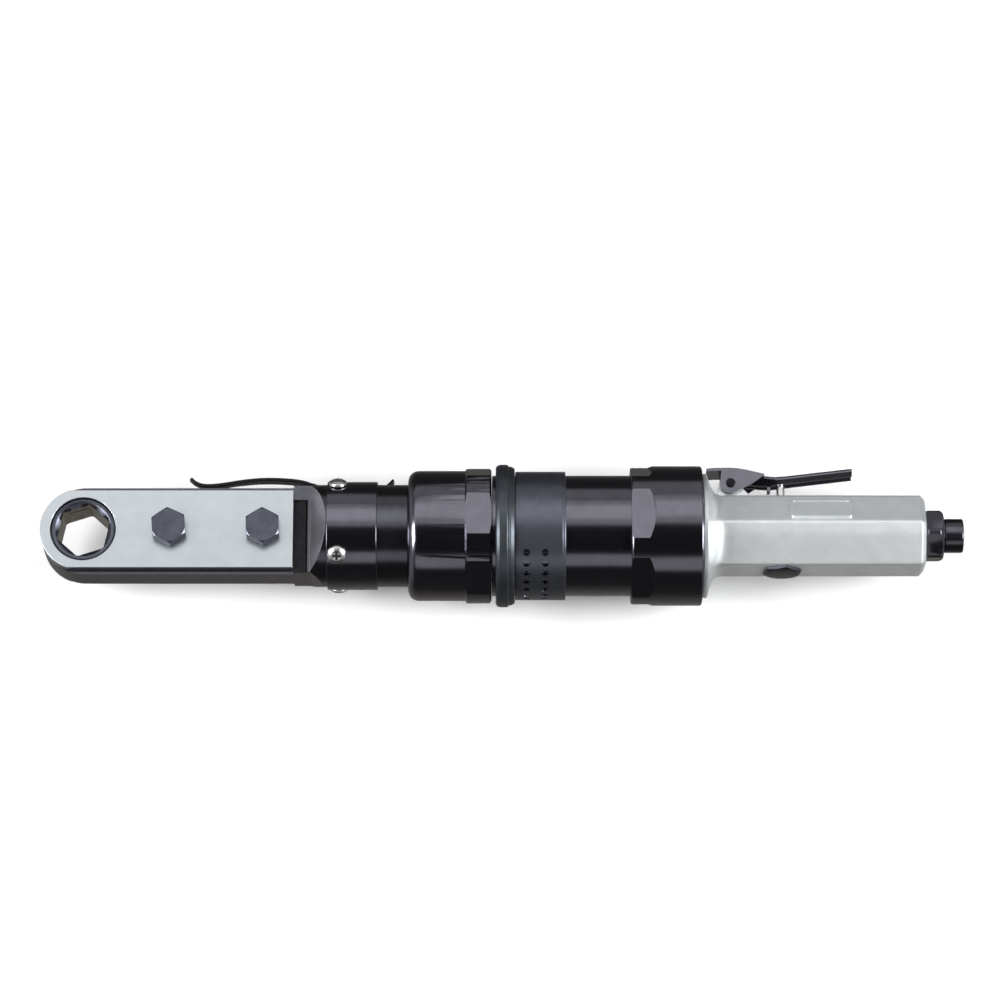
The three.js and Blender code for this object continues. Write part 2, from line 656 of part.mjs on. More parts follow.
// Planetary gears. Teeth are straight-flanked, with backlash.
const pitchRadius = (teeth) => (teeth * MODULE) / 2;
const ADDENDUM = 0.8 * MODULE;
const DEDENDUM = 1.2 * MODULE;
function ringGear() {
  const tips = pitchRadius(RING_TEETH) - ADDENDUM;
  const bore = toothed(RING_TEETH, tips, pitchRadius(RING_TEETH) + DEDENDUM, 0.22, 0.66);
  const outer = caseBoreRadius - GAP - 0.1;
  return rod(gearStart, gearEnd, outer, 36).subtract(alongX(bore, gearStart - 1, gearEnd + 1));
}
function gear(teeth, x0, x1, turn) {
  const roots = pitchRadius(teeth) - DEDENDUM;
  return alongX(toothed(teeth, pitchRadius(teeth) + ADDENDUM, roots, 0.2, 0.62, turn), x0, x1);
}
add("ring_gear", ringGear(), gearSteel);
for (let i = 0; i < PLANET_COUNT; i++) {
  const angle = (i * 2 * Math.PI) / PLANET_COUNT;
  const bore = rod(gearStart - 1, gearEnd + 1, PLANET_PIN_RADIUS + GAP, 12);
  const planet = gear(PLANET_TEETH, gearStart, gearEnd - RUN, Math.PI / PLANET_TEETH).subtract(bore);
  const pin = rod(carrierStart, gearEnd, PLANET_PIN_RADIUS, 12);
  add("planet_gear_" + (i + 1), turnedX(moved(planet, 0, carrierRadius, 0), angle), gearSteel);
  add("planet_pin_" + (i + 1), turnedX(moved(pin, 0, carrierRadius, 0), angle), nickel);
}

// Air motor: rotor with its vanes in an eccentric cylinder between two end plates.
const pinionEnd = gearEnd + 1;
const spindleRadius = ROTOR_SHAFT_RADIUS - 1.2;
const pinionBore = rod(gearStart - 1, pinionEnd + 1, spindleRadius, 12);
add("rotor_pinion", gear(SUN_TEETH, gearStart, pinionEnd, 0).subtract(pinionBore), gearSteel);
const rotorStart = cylinderStart + RUN;
const rotorEnd = cylinderEnd - RUN;
function rotor() {
  const spindle = rod(gearStart, pinionEnd + 1, spindleRadius - GAP, 12);
  const shaft = rod(pinionEnd + GAP, rearPlateEnd - GAP, ROTOR_SHAFT_RADIUS, 16);
  let made = spindle.add(shaft).add(rod(rotorStart, rotorEnd, ROTOR_RADIUS, 30));
  for (let i = 0; i < VANE_COUNT; i++) {
    const half = VANE_THICKNESS / 2 + GAP;
    const floor = ROTOR_RADIUS - VANE_DEPTH - GAP;
    const slot = box(rotorStart - 1, rotorEnd + 1, floor, ROTOR_RADIUS + 2, -half, half);
    made = made.subtract(turnedX(slot, (i * 2 * Math.PI) / VANE_COUNT));
  }
  return made;
}
add("rotor", rotor(), gearSteel);
for (let i = 0; i < VANE_COUNT; i++) {
  const half = VANE_THICKNESS / 2;
  const vane = box(rotorStart, rotorEnd, ROTOR_RADIUS - VANE_DEPTH, ROTOR_RADIUS, -half, half);
  add("vane_" + (i + 1), turnedX(vane, (i * 2 * Math.PI) / VANE_COUNT), phenolic);
}
function cylinder() {
  const bore = moved(rod(cylinderStart - 1, cylinderEnd + 1, CYLINDER_BORE_RADIUS, 30), 0, -ROTOR_OFFSET, 0);
  let made = rod(cylinderStart, cylinderEnd, motorBoreRadius - GAP, 30).subtract(bore);
  for (let i = 0; i < EXHAUST_PORTS; i++) {
    const x = sleeveStart + EXHAUST_COLUMNS[0] + ((i + 1) * CYLINDER_LENGTH) / (EXHAUST_PORTS + 5);
    made = made.subtract(alongY(polygon(8, EXHAUST_PORT_RADIUS, 0, 0, x), -motorBoreRadius - 1, 0));
  }
  return made;
}
add("motor_cylinder", cylinder(), gearSteel);
for (const [name, bearing, x0] of [
  ["front_end_plate", "front_rotor_bearing", frontPlateStart],
  ["rear_end_plate", "rear_rotor_bearing", cylinderEnd + GAP],
]) {
  const x1 = x0 + END_PLATE_THICKNESS;
  add(name, hollowRod(x0, x1, ROTOR_BEARING_RADIUS + GAP, motorBoreRadius - GAP, 30), gearSteel);
  add(bearing, hollowRod(x0, x1, ROTOR_SHAFT_RADIUS + GAP, ROTOR_BEARING_RADIUS, 20), nickel);
}

// Motor case with its exhaust ports, the bumper ring, the exhaust sleeve and the clamp nut.
function motorCase() {
  const start = caseEnd + GAP;
  const seat = hollowRod(start, bumperStart - GAP, motorBoreRadius, caseBoreRadius + CASE_SEAT, 32);
  let made = hollowRod(start, spigotStep, motorBoreRadius, MOTOR_RADIUS, 32).add(seat);
  for (let i = 0; i < EXHAUST_PORTS; i++) {
    const x = sleeveStart + EXHAUST_COLUMNS[0] + i * EXHAUST_PORT_RADIUS * 2.6;
    made = made.subtract(alongY(polygon(8, EXHAUST_PORT_RADIUS, 0, 0, x), -MOTOR_RADIUS - 1, 0));
  }
  return made;
}
add("motor_case", motorCase(), blackPaint);

function bumperRing() {
  const x0 = bumperStart;
  const x1 = bumperStart + BUMPER_LENGTH;
  const inner = MOTOR_RADIUS + GAP + 0.1;
  return turned(
    [
      [x0, inner],
      [x0, BUMPER_RADIUS - BUMPER_SHOULDER],
      [x0 + BUMPER_SHOULDER, BUMPER_RADIUS],
      [x1 - BUMPER_SHOULDER, BUMPER_RADIUS],
      [x1, BUMPER_RADIUS - BUMPER_SHOULDER],
      [x1, inner],
      [x0, inner],
    ],
    24,
  );
}
add("bumper_ring", bumperRing(), matteBlack);

function exhaustSleeve() {
  let made = hollowRod(sleeveStart, sleeveEnd, MOTOR_RADIUS + RUN, SLEEVE_RADIUS, 48);
  for (const column of EXHAUST_COLUMNS) {
    for (let row = 0; row < EXHAUST_ROWS; row++) {
      const circle = polygon(6, EXHAUST_HOLE_RADIUS, 0, 0, sleeveStart + column);
      const hole = alongY(circle, -SLEEVE_RADIUS - 1, -MOTOR_RADIUS + 3);
      made = made.subtract(turnedX(hole, (row - (EXHAUST_ROWS - 1) / 2) * EXHAUST_PITCH));
    }
  }
  return made;
}
add("exhaust_sleeve", exhaustSleeve(), matteBlack);

function clampNut() {
  const body = turned(
    [
      [nutStart, 0],
      [nutStart, NUT_RADIUS - NUT_CHAMFER],
      [nutStart + NUT_CHAMFER, NUT_RADIUS],
      [nutEnd - NUT_CHAMFER, NUT_RADIUS],
      [nutEnd, NUT_RADIUS - NUT_CHAMFER],
      [nutEnd, 0],
    ],
    24,
  );
  const band = alongX(hexagon(NUT_FLATS, 0), nutStart - 1, nutStart + NUT_FLAT_LENGTH);
  const kept = band.add(rod(nutStart + NUT_FLAT_LENGTH, nutEnd + 1, NUT_RADIUS + 2, 24));
  return body.intersect(kept).subtract(rod(nutStart - 1, nutEnd + 1, MOTOR_RADIUS + GAP + 0.1, 32));
}
add("clamp_nut", clampNut(), blackPaint);

// Handle: a flange clamped by the nut, a flared neck and a hexagonal grip, with the airway through it.
const valveSeat = -gripHalf + VALVE_CAP_THREAD_LENGTH;
function flaredNeck() {
  const flareStart = flangeStart + FLANGE_LENGTH;
  const profile = [
    [spigotStart, 0],
    [spigotStart, motorBoreRadius - GAP],
    [spigotStep + GAP, motorBoreRadius - GAP],
    [spigotStep + GAP, MOTOR_RADIUS - GAP],
    [flangeStart, MOTOR_RADIUS - GAP],
    [flangeStart, FLANGE_RADIUS],
    [flareStart, FLANGE_RADIUS],
  ];
  const steps = 6;
  const drop = FLANGE_RADIUS - 1 - gripHalf;
  for (let i = 1; i <= steps; i++) {
    const share = i / steps;
    profile.push([flareStart + FLARE_LENGTH * share, gripHalf + drop * (1 - share) ** 2.4]);
  }
  profile.push([gripStart + 3, 0]);
  return turned(profile, 30);
}

function grip() {
  const cornerRadius = gripHalf * 1.17;
  const corners = turned(
    [
      [flangeStart, 0],
      [flangeStart, FLANGE_RADIUS],
      [gripEnd - GRIP_CHAMFER, cornerRadius],
      [gripEnd, cornerRadius - GRIP_CHAMFER * 1.4],
      [gripEnd, 0],
    ],
    24,
  );
  return alongX(hexagon(GRIP_FLATS, 30 * DEG), flangeStart + FLANGE_LENGTH, gripEnd).intersect(corners);
}

function handle() {
  const lug = outline([
    [pivotX - LUG_FRONT, gripHalf - 1],
    [pivotX - 3.2, pivotY + 1.6],
    [pivotX + 2, pivotY + 2.2],
    [pivotX + LUG_BACK, gripHalf - 1],
  ]);
  const inletBoreStart = gripEnd - INLET_THREAD_LENGTH - SCREEN_THICKNESS - 1;
  const atValve = (radius, sides) => polygon(sides, radius, 0, 0, valveX);
  return flaredNeck()
    .add(grip())
    .add(alongZ(lug, -LUG_WIDTH / 2, LUG_WIDTH / 2))
    .subtract(rod(spigotStart - 1, gripEnd + 1, AIRWAY_RADIUS, 16))
    .subtract(rod(inletBoreStart, gripEnd + 1, INLET_THREAD_RADIUS + GAP, 20))
    .subtract(alongY(atValve(VALVE_CAP_FLATS / 2 - 1, 16), -gripHalf - 1, valveSeat + GAP))
    .subtract(alongY(atValve(VALVE_BORE_RADIUS, 16), valveSeat - 1, gripHalf - VALVE_BORE_END))
    .subtract(alongY(atValve(STEM_RADIUS + 1.2, 12), gripHalf - VALVE_BORE_END - 1, gripHalf + 1))
    .subtract(post(pivotX, pivotY, -LUG_WIDTH, LUG_WIDTH, PIN_RADIUS + GAP, 12));
}
add("handle", handle(), castAluminium);

// Throttle lever: a folded sheet channel with two ears on the lug, and the pin that it turns on.
function throttleLever() {
  const halfWidth = LEVER_WIDTH / 2;
  const noseY = FLANGE_RADIUS + RUN + LEVER_SHEET + 0.1;
  const top = curveThrough(
    [
      [pivotX - 9.8, noseY],
      [pivotX - 6, noseY + 0.3],
      [pivotX + 2, noseY + 0.2],
      [pivotX + 8, pivotY + 5.2],
      [pivotX + 19.4, pivotY + 3.5],
      [pivotX + 34, pivotY + 5.2],
      [pivotX + 49, pivotY + 7],
    ],
    18,
  );
  const under = (line, depth) => strip(line.map(([x, y]) => [x, y - depth]), depth);
  const arm = top.filter(([x]) => x > pivotX - LEVER_EAR_RADIUS);
  const gusset = outline([
    [pivotX - LEVER_EAR_RADIUS, pivotY],
    [pivotX + 1.5, pivotY - LEVER_EAR_RADIUS + GAP],
    [pivotX + 15, pivotY - 0.6],
    [pivotX + 15, pivotY + 3.6],
    [pivotX - LEVER_EAR_RADIUS, pivotY + 5],
  ]);
  let made = alongZ(under(top, LEVER_SHEET), -halfWidth, halfWidth);
  for (const z0 of [-halfWidth, halfWidth - LEVER_SHEET]) {
    const z1 = z0 + LEVER_SHEET;
    made = made
      .add(alongZ(under(arm, LEVER_SIDE_HEIGHT), z0, z1))
      .add(post(pivotX, pivotY, z0, z1, LEVER_EAR_RADIUS, 20))
      .add(alongZ(gusset, z0, z1));
  }
  const pinHole = post(pivotX, pivotY, -halfWidth - 1, halfWidth + 1, PIN_RADIUS + GAP, 12);
  return made.subtract(pinHole);
}
add("throttle_lever", throttleLever(), blackPaint);
const pinHalf = LEVER_WIDTH / 2 + PIN_OVERHANG;
add("lever_pin", post(pivotX, pivotY, -pinHalf, pinHalf, PIN_RADIUS, 12), blackOxide);

// Throttle valve under the lever: bushing, stem with its head, spring and hexagonal cap.
const upright = (y0, y1, radius, sides = 12) => alongY(polygon(sides, radius, 0, 0, valveX), y0, y1);
const valveHeadTop = gripHalf - VALVE_BORE_END - GAP;
const valveHeadLow = valveHeadTop - VALVE_HEAD_LENGTH;
const stemTop = gripHalf + STEM_SHOWN_LENGTH;
function valveStem() {
  return upright(valveHeadTop - 1, stemTop, STEM_RADIUS)
    .add(upright(stemTop - 0.1, stemTop + STEM_TIP_LENGTH, STEM_RADIUS - STEM_TIP_LENGTH))
    .add(upright(valveHeadLow, valveHeadTop, VALVE_HEAD_RADIUS, 16));
}
add("valve_stem", valveStem(), nickel);
const stemBushing = upright(gripHalf - VALVE_BORE_END + GAP, gripHalf + 0.3, STEM_RADIUS + 1);
add("stem_bushing", stemBushing.subtract(upright(0, gripHalf + 1, STEM_RADIUS + GAP)), bronze);
function valveSpring() {
  const low = valveSeat + GAP + SPRING_WIRE_RADIUS + 0.1;
  const high = valveHeadLow - GAP - SPRING_WIRE_RADIUS - 0.1;
  const radius = VALVE_HEAD_RADIUS - SPRING_WIRE_RADIUS - 0.3;
  const steps = SPRING_TURNS * 8;
  const points = [];
  for (let i = 0; i <= steps; i++) {
    const share = i / steps;
    const angle = share * SPRING_TURNS * 2 * Math.PI;
    points.push(
      new THREE.Vector3(
        valveX + radius * Math.cos(angle),
        low + (high - low) * share,
        radius * Math.sin(angle),
      ),
    );
  }
  const extrudePath = new THREE.CatmullRomCurve3(points);
  const wire = polygon(5, SPRING_WIRE_RADIUS);
  return solid(new THREE.ExtrudeGeometry(wire, { steps, bevelEnabled: false, extrudePath }));
}
add("valve_spring", valveSpring(), springSteel);
function valveCap() {
  const top = -gripHalf - GAP;
  const head = alongY(hexagon(VALVE_CAP_FLATS, 10 * DEG, 0, valveX), top - VALVE_CAP_HEIGHT, top);
  return head.add(upright(top - 0.5, valveSeat, VALVE_CAP_FLATS / 2 - 1 - GAP, 16));
}
add("valve_cap", valveCap(), blackOxide);

// Blank name plate on the upper front flat of the grip.
function namePlate() {
  const x0 = gripStart + NAME_PLATE_OFFSET;
  const y = NAME_PLATE_WIDTH / 2;
  const z0 = gripHalf + GAP;
  return turnedX(box(x0, x0 + NAME_PLATE_LENGTH, -y, y, z0, z0 + NAME_PLATE_THICKNESS), -30 * DEG);
}
add("name_plate", namePlate(), castAluminium);

// Air inlet: hexagonal bushing with a bored stub, and the screen behind it.
const threadStart = gripEnd - INLET_THREAD_LENGTH;
function inletBushing() {
  return alongX(hexagon(INLET_FLATS, 38 * DEG), inletStart, stubStart)
    .intersect(rod(inletStart - 1, stubStart + 1, INLET_CORNER_RADIUS, 24))
    .add(rod(stubStart - 1, toolEnd, INLET_STUB_RADIUS, 24))
    .add(rod(threadStart, inletStart + 1, INLET_THREAD_RADIUS, 20))
    .subtract(rod(threadStart - 1, toolEnd + 1, INLET_BORE_RADIUS, 16));
}
add("inlet_bushing", inletBushing(), blackOxide);
function inletScreen() {
  const disc = withHole(polygon(20, SCREEN_RADIUS), polygon(6, SCREEN_HOLE_RADIUS));
  for (let i = 0; i < 6; i++) {
    const angle = (i * Math.PI) / 3;
    const [u, v] = [SCREEN_HOLE_CIRCLE * Math.cos(angle), SCREEN_HOLE_CIRCLE * Math.sin(angle)];
    withHole(disc, polygon(6, SCREEN_HOLE_RADIUS, 0, u, v));
  }
  const end = threadStart - GAP;
  return alongX(disc, end - SCREEN_THICKNESS, end);
}
add("inlet_screen", inletScreen(), nickel);

export default tool;
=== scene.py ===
"""Air ratchet: the visible model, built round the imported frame.

Shapes are drawn in millimetres from the socket's centre on the tool's axis (ORIGIN): x along the tool,
y towards the throttle lever, z out of the front plate. make() turns them into metres in the frame.
"""

import json
import math

import bmesh
import bpy
from mathutils import Matrix, Vector


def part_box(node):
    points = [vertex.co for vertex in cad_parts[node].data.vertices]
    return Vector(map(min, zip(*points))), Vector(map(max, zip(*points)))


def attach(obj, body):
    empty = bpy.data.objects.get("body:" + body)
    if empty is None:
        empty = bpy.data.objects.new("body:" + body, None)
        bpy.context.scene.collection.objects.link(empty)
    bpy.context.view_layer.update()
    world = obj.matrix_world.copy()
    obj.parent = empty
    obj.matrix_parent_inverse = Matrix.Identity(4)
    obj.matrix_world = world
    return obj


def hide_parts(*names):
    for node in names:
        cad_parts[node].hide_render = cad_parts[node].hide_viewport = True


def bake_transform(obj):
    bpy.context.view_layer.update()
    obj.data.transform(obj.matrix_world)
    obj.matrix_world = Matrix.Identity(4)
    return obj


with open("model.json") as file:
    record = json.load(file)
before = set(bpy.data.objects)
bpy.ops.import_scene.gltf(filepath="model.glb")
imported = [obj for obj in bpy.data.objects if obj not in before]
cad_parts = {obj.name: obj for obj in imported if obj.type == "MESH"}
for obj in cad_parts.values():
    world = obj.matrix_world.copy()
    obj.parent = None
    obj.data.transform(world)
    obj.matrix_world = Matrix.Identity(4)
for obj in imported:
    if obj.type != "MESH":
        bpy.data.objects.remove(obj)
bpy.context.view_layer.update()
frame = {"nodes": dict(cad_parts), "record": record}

MM = 0.001
GAP = 0.2
STEPS = 160
GRIP_STEPS = 168


def middle(node):
    low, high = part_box(node)
    return (low + high) / 2


ORIGIN = Vector((middle("socket_ring").x, middle("motor_case").y, middle("motor_case").z))


def span(node):
    """Lowest and highest corner of a CAD node, in millimetres from ORIGIN."""
    low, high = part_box(node)
    return (low - ORIGIN) / MM, (high - ORIGIN) / MM


BODY_OF = {n: b for b, nodes in frame["record"]["behaviour"]["bodies"].items() for n in nodes}
SLOT_OF = {s["node"]: s["material_slot"] for s in frame["record"]["subparts"]}


# ---------------------------------------------------------------- outlines

def arc(cx, cy, radius, start, end, steps):
    """Points on an arc, its angles in degrees."""
    points = []
    for i in range(steps + 1):
        angle = math.radians(start + (end - start) * i / steps)
        points.append((cx + radius * math.cos(angle), cy + radius * math.sin(angle)))
    return points


def circle(radius, cx=0.0, cy=0.0, steps=64):
    return arc(cx, cy, radius, 0, 360 * (steps - 1) / steps, steps - 1)


def hexagon(flats, turn=0.0, cx=0.0, cy=0.0):
    """Six corners, the first at turn degrees."""
    return [
        (cx + flats / math.sqrt(3) * math.cos(math.radians(turn + 60 * i)),
         cy + flats / math.sqrt(3) * math.sin(math.radians(turn + 60 * i)))
        for i in range(6)
    ]


def rectangle(u0, u1, v0, v1):
    return [(u0, v0), (u1, v0), (u1, v1), (u0, v1)]


def rounded(points, fillet, closed=True, steps=4):
    """The outline with every corner rounded, by a point's own third value where it has one."""
    out = []
    count = len(points)
    for i, point in enumerate(points):
        radius = point[2] if len(point) > 2 else fillet
        here = Vector(point[:2])
        if radius <= 0 or (not closed and i in (0, count - 1)):
            out.append(tuple(here))
            continue
        to_last = Vector(points[i - 1][:2]) - here
        to_next = Vector(points[(i + 1) % count][:2]) - here
        opening = to_last.angle(to_next)
        if opening > math.radians(176):
            out.append(tuple(here))
            continue
        reach = min(radius / math.tan(opening / 2), 0.48 * to_last.length, 0.48 * to_next.length)
        to_last.normalize()
        to_next.normalize()
        centre = here + (to_last + to_next).normalized() * (reach / math.cos(opening / 2))
        first = here + to_last * reach - centre
        last = here + to_next * reach - centre
        start = math.atan2(first.y, first.x)
        sweep = (math.atan2(last.y, last.x) - start + math.pi) % (2 * math.pi) - math.pi
        for k in range(steps + 1):
            angle = start + sweep * k / steps
            out.append((centre.x + first.length * math.cos(angle),
                        centre.y + first.length * math.sin(angle)))
    return out


def smooth_line(points, steps=8):
    """A Catmull-Rom curve through the points."""
    line = [points[0]]
    for i in range(len(points) - 1):
        p0 = Vector(points[max(i - 1, 0)])
        p1, p2 = Vector(points[i]), Vector(points[i + 1])
        p3 = Vector(points[min(i + 2, len(points) - 1)])
        for k in range(1, steps + 1):
            t = k / steps
            line.append(tuple(
                0.5 * (2 * p1 + (p2 - p0) * t + (2 * p0 - 5 * p1 + 4 * p2 - p3) * t * t
                       + (3 * p1 - p0 - 3 * p2 + p3) * t ** 3)
            ))
    return line


# ---------------------------------------------------------------- solids

def along_x(u, v, w):
    return (w, u, v)


def along_y(u, v, w):
    return (v, w, u)


def along_z(u, v, w):
    return (u, v, w)


def make(name, points, faces):
    mesh = bpy.data.meshes.new(name)
    mesh.from_pydata([ORIGIN + Vector(p) * MM for p in points], [], faces)
    work = bmesh.new()
    work.from_mesh(mesh)
    bmesh.ops.recalc_face_normals(work, faces=work.faces)
    work.to_mesh(mesh)
    work.free()
    piece = bpy.data.objects.new(name, mesh)
    bpy.context.scene.collection.objects.link(piece)
    return piece


def prism(name, outline, low, high, way=along_z):
    """A straight solid from low to high along way."""
    count = len(outline)
    points = [way(u, v, low) for u, v in outline] + [way(u, v, high) for u, v in outline]
    faces = [tuple(reversed(range(count))), tuple(range(count, 2 * count))]
    for i in range(count):
        j = (i + 1) % count
        faces.append((i, j, count + j, count + i))
    return make(name, points, faces)


def stepped(*steps):
    """The (station, radius) profile of a stepped rod or bore, from (start, end, radius) steps."""
    profile = [(steps[0][0], 0)]
    for start, end, radius in steps:
        profile += [(start, radius), (end, radius)]
    return profile + [(steps[-1][1], 0)]


def lathe(name, profile, way=along_x, centre=(0.0, 0.0), steps=STEPS):
    """A turned solid from (station, radius) points: from axis to axis, or round a hollow section."""
    points, rings, faces = [], [], []
    for station, radius in profile:
        start = len(points)
        if radius < 1e-4:
            points.append(way(centre[0], centre[1], station))
            rings.append([start] * steps)
            continue
        for i in range(steps):
            angle = 2 * math.pi * i / steps
            u, v = centre[0] + radius * math.cos(angle), centre[1] + radius * math.sin(angle)
            points.append(way(u, v, station))
        rings.append(list(range(start, start + steps)))
    pairs = list(zip(rings, rings[1:]))
    if profile[0][1] >= 1e-4:
        pairs.append((rings[-1], rings[0]))
    for here, there in pairs:
        for i in range(steps):
            j = (i + 1) % steps
            corners = list(dict.fromkeys((here[i], here[j], there[j], there[i])))
            if len(corners) > 2:
                faces.append(corners)
    return make(name, points, faces)


def loft(name, sections, way=along_x):
    """A solid through closed sections, each (station, outline), closed flat at both ends."""
    count = len(sections[0][1])
    points = [way(u, v, station) for station, outline in sections for u, v in outline]
    faces = [tuple(range(count)), tuple(range(len(points) - count, len(points)))]
    for s in range(len(sections) - 1):
        for i in range(count):
            j = (i + 1) % count
            a, b = s * count, (s + 1) * count
            faces.append((a + i, a + j, b + j, b + i))
    return make(name, points, faces)


def apply(piece):
    """Makes the piece's modifiers permanent."""
    graph = bpy.context.evaluated_depsgraph_get()
    mesh = bpy.data.meshes.new_from_object(piece.evaluated_get(graph))
    old = piece.data
    piece.modifiers.clear()
    piece.data = mesh
    bpy.data.meshes.remove(old)
    return piece


def combine(piece, other, operation):
    modifier = piece.modifiers.new("combine", "BOOLEAN")
    modifier.operation = operation
    modifier.solver = "EXACT"
    modifier.object = other
    apply(piece)
    bpy.data.objects.remove(other)
    return piece


def cut(piece, *others):
    for other in others:
        combine(piece, other, "DIFFERENCE")
    return piece


def add(piece, *others):
    for other in others:
        combine(piece, other, "UNION")
    return piece


def keep(piece, other):
    return combine(piece, other, "INTERSECT")


def soften(piece, width, angle=30.0, segments=3):
    """Rounds the edges sharper than angle."""
    modifier = piece.modifiers.new("soften", "BEVEL")
    modifier.width = width * MM
    modifier.segments = segments
    modifier.limit_method = "ANGLE"
    modifier.angle_limit = math.radians(angle)
    modifier.use_clamp_overlap = True
    return apply(piece)


def turn_x(piece, degrees):
    """Turns the mesh about the tool's axis."""
    turn = Matrix.Rotation(math.radians(degrees), 4, "X")
    piece.data.transform(Matrix.Translation(ORIGIN) @ turn @ Matrix.Translation(-ORIGIN))
    return piece


def turned_point(point, degrees):
    return ORIGIN + Matrix.Rotation(math.radians(degrees), 3, "X") @ Vector(point) * MM


def shade(piece, angle=42.0):
    mesh = piece.data
    mesh.polygons.foreach_set("use_smooth", [True] * len(mesh.polygons))
    mesh.set_sharp_from_angle(angle=math.radians(angle))
    modifier = piece.modifiers.new("normals", "WEIGHTED_NORMAL")
    modifier.keep_sharp = True
    modifier.weight = 60
    return apply(piece)


def fit(piece, node, material=None):
    """Shades the piece and puts it in a CAD node's place, on the node's body."""
    shade(piece)
    piece.data.materials.clear()
    piece.data.materials.append(material or MATERIALS[SLOT_OF[node]])
    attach(piece, BODY_OF[node])
    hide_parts(node)
    return piece


# ---------------------------------------------------------------- materials

def shader(name, color, roughness, metallic, specular=0.5):
    material = bpy.data.materials.new(name)
    material.use_nodes = True
    nodes = material.node_tree.nodes
    surface = nodes["Principled BSDF"]
    surface.inputs["Base Color"].default_value = (*color, 1)
    surface.inputs["Roughness"].default_value = roughness
    surface.inputs["Metallic"].default_value = metallic
    surface.inputs["Specular IOR Level"].default_value = specular
    return material, nodes, material.node_tree.links, surface


def noise(nodes, links, scale, detail=3.0, stretch=(1, 1, 1), roughness=0.55):
    """Noise in object space, scale in features per metre, stretched along an axis."""
    place = nodes.new("ShaderNodeTexCoord")
    mapping = nodes.new("ShaderNodeMapping")
    mapping.inputs["Scale"].default_value = stretch
    texture = nodes.new("ShaderNodeTexNoise")
    texture.inputs["Scale"].default_value = scale
    texture.inputs["Detail"].default_value = detail
    texture.inputs["Roughness"].default_value = roughness
    links.new(place.outputs["Object"], mapping.inputs["Vector"])
    links.new(mapping.outputs["Vector"], texture.inputs["Vector"])
    return texture.outputs["Fac"]


def spread(nodes, links, value, low, high, start=0.3, end=0.7):
    """Maps a noise value onto low to high."""
    ranged = nodes.new("ShaderNodeMapRange")
    ranged.inputs["From Min"].default_value = start
    ranged.inputs["From Max"].default_value = end
    ranged.inputs["To Min"].default_value = low
    ranged.inputs["To Max"].default_value = high
    links.new(value, ranged.inputs["Value"])
    return ranged.outputs["Result"]


def tint(nodes, links, value, dark, light, surface, start=0.3, end=0.7):
    ramp = nodes.new("ShaderNodeValToRGB")
    ramp.color_ramp.elements[0].position = start
    ramp.color_ramp.elements[1].position = end
    ramp.color_ramp.elements[0].color = (*dark, 1)
    ramp.color_ramp.elements[1].color = (*light, 1)
    links.new(value, ramp.inputs["Fac"])
    links.new(ramp.outputs["Color"], surface.inputs["Base Color"])


def bump(nodes, links, value, surface, strength, depth):
    relief = nodes.new("ShaderNodeBump")
    relief.inputs["Strength"].default_value = strength
    relief.inputs["Distance"].default_value = depth
    links.new(value, relief.inputs["Height"])
    links.new(relief.outputs["Normal"], surface.inputs["Normal"])


def finish_with(name, dark, light, rough, metallic, grain, mottle, relief, stretch=(1, 1, 1)):
    """A finish from two noises, both in features per metre.

    mottle takes the colour from dark to light. grain takes the roughness through rough, and gives the
    relief, which is (strength, metres).
    """
    middle_tone = [(a + b) / 2 for a, b in zip(dark, light)]
    material, nodes, links, surface = shader(name, middle_tone, rough[0], metallic)
    tint(nodes, links, noise(nodes, links, mottle, 4.0), dark, light, surface)
    fine = noise(nodes, links, grain, 3.0, stretch)
    links.new(spread(nodes, links, fine, rough[0], rough[1]), surface.inputs["Roughness"])
    bump(nodes, links, fine, surface, *relief)
    return material


ALONG = (0.06, 1, 1)
EVEN = (1, 1, 1)
SHORT = (0.5, 1, 1)

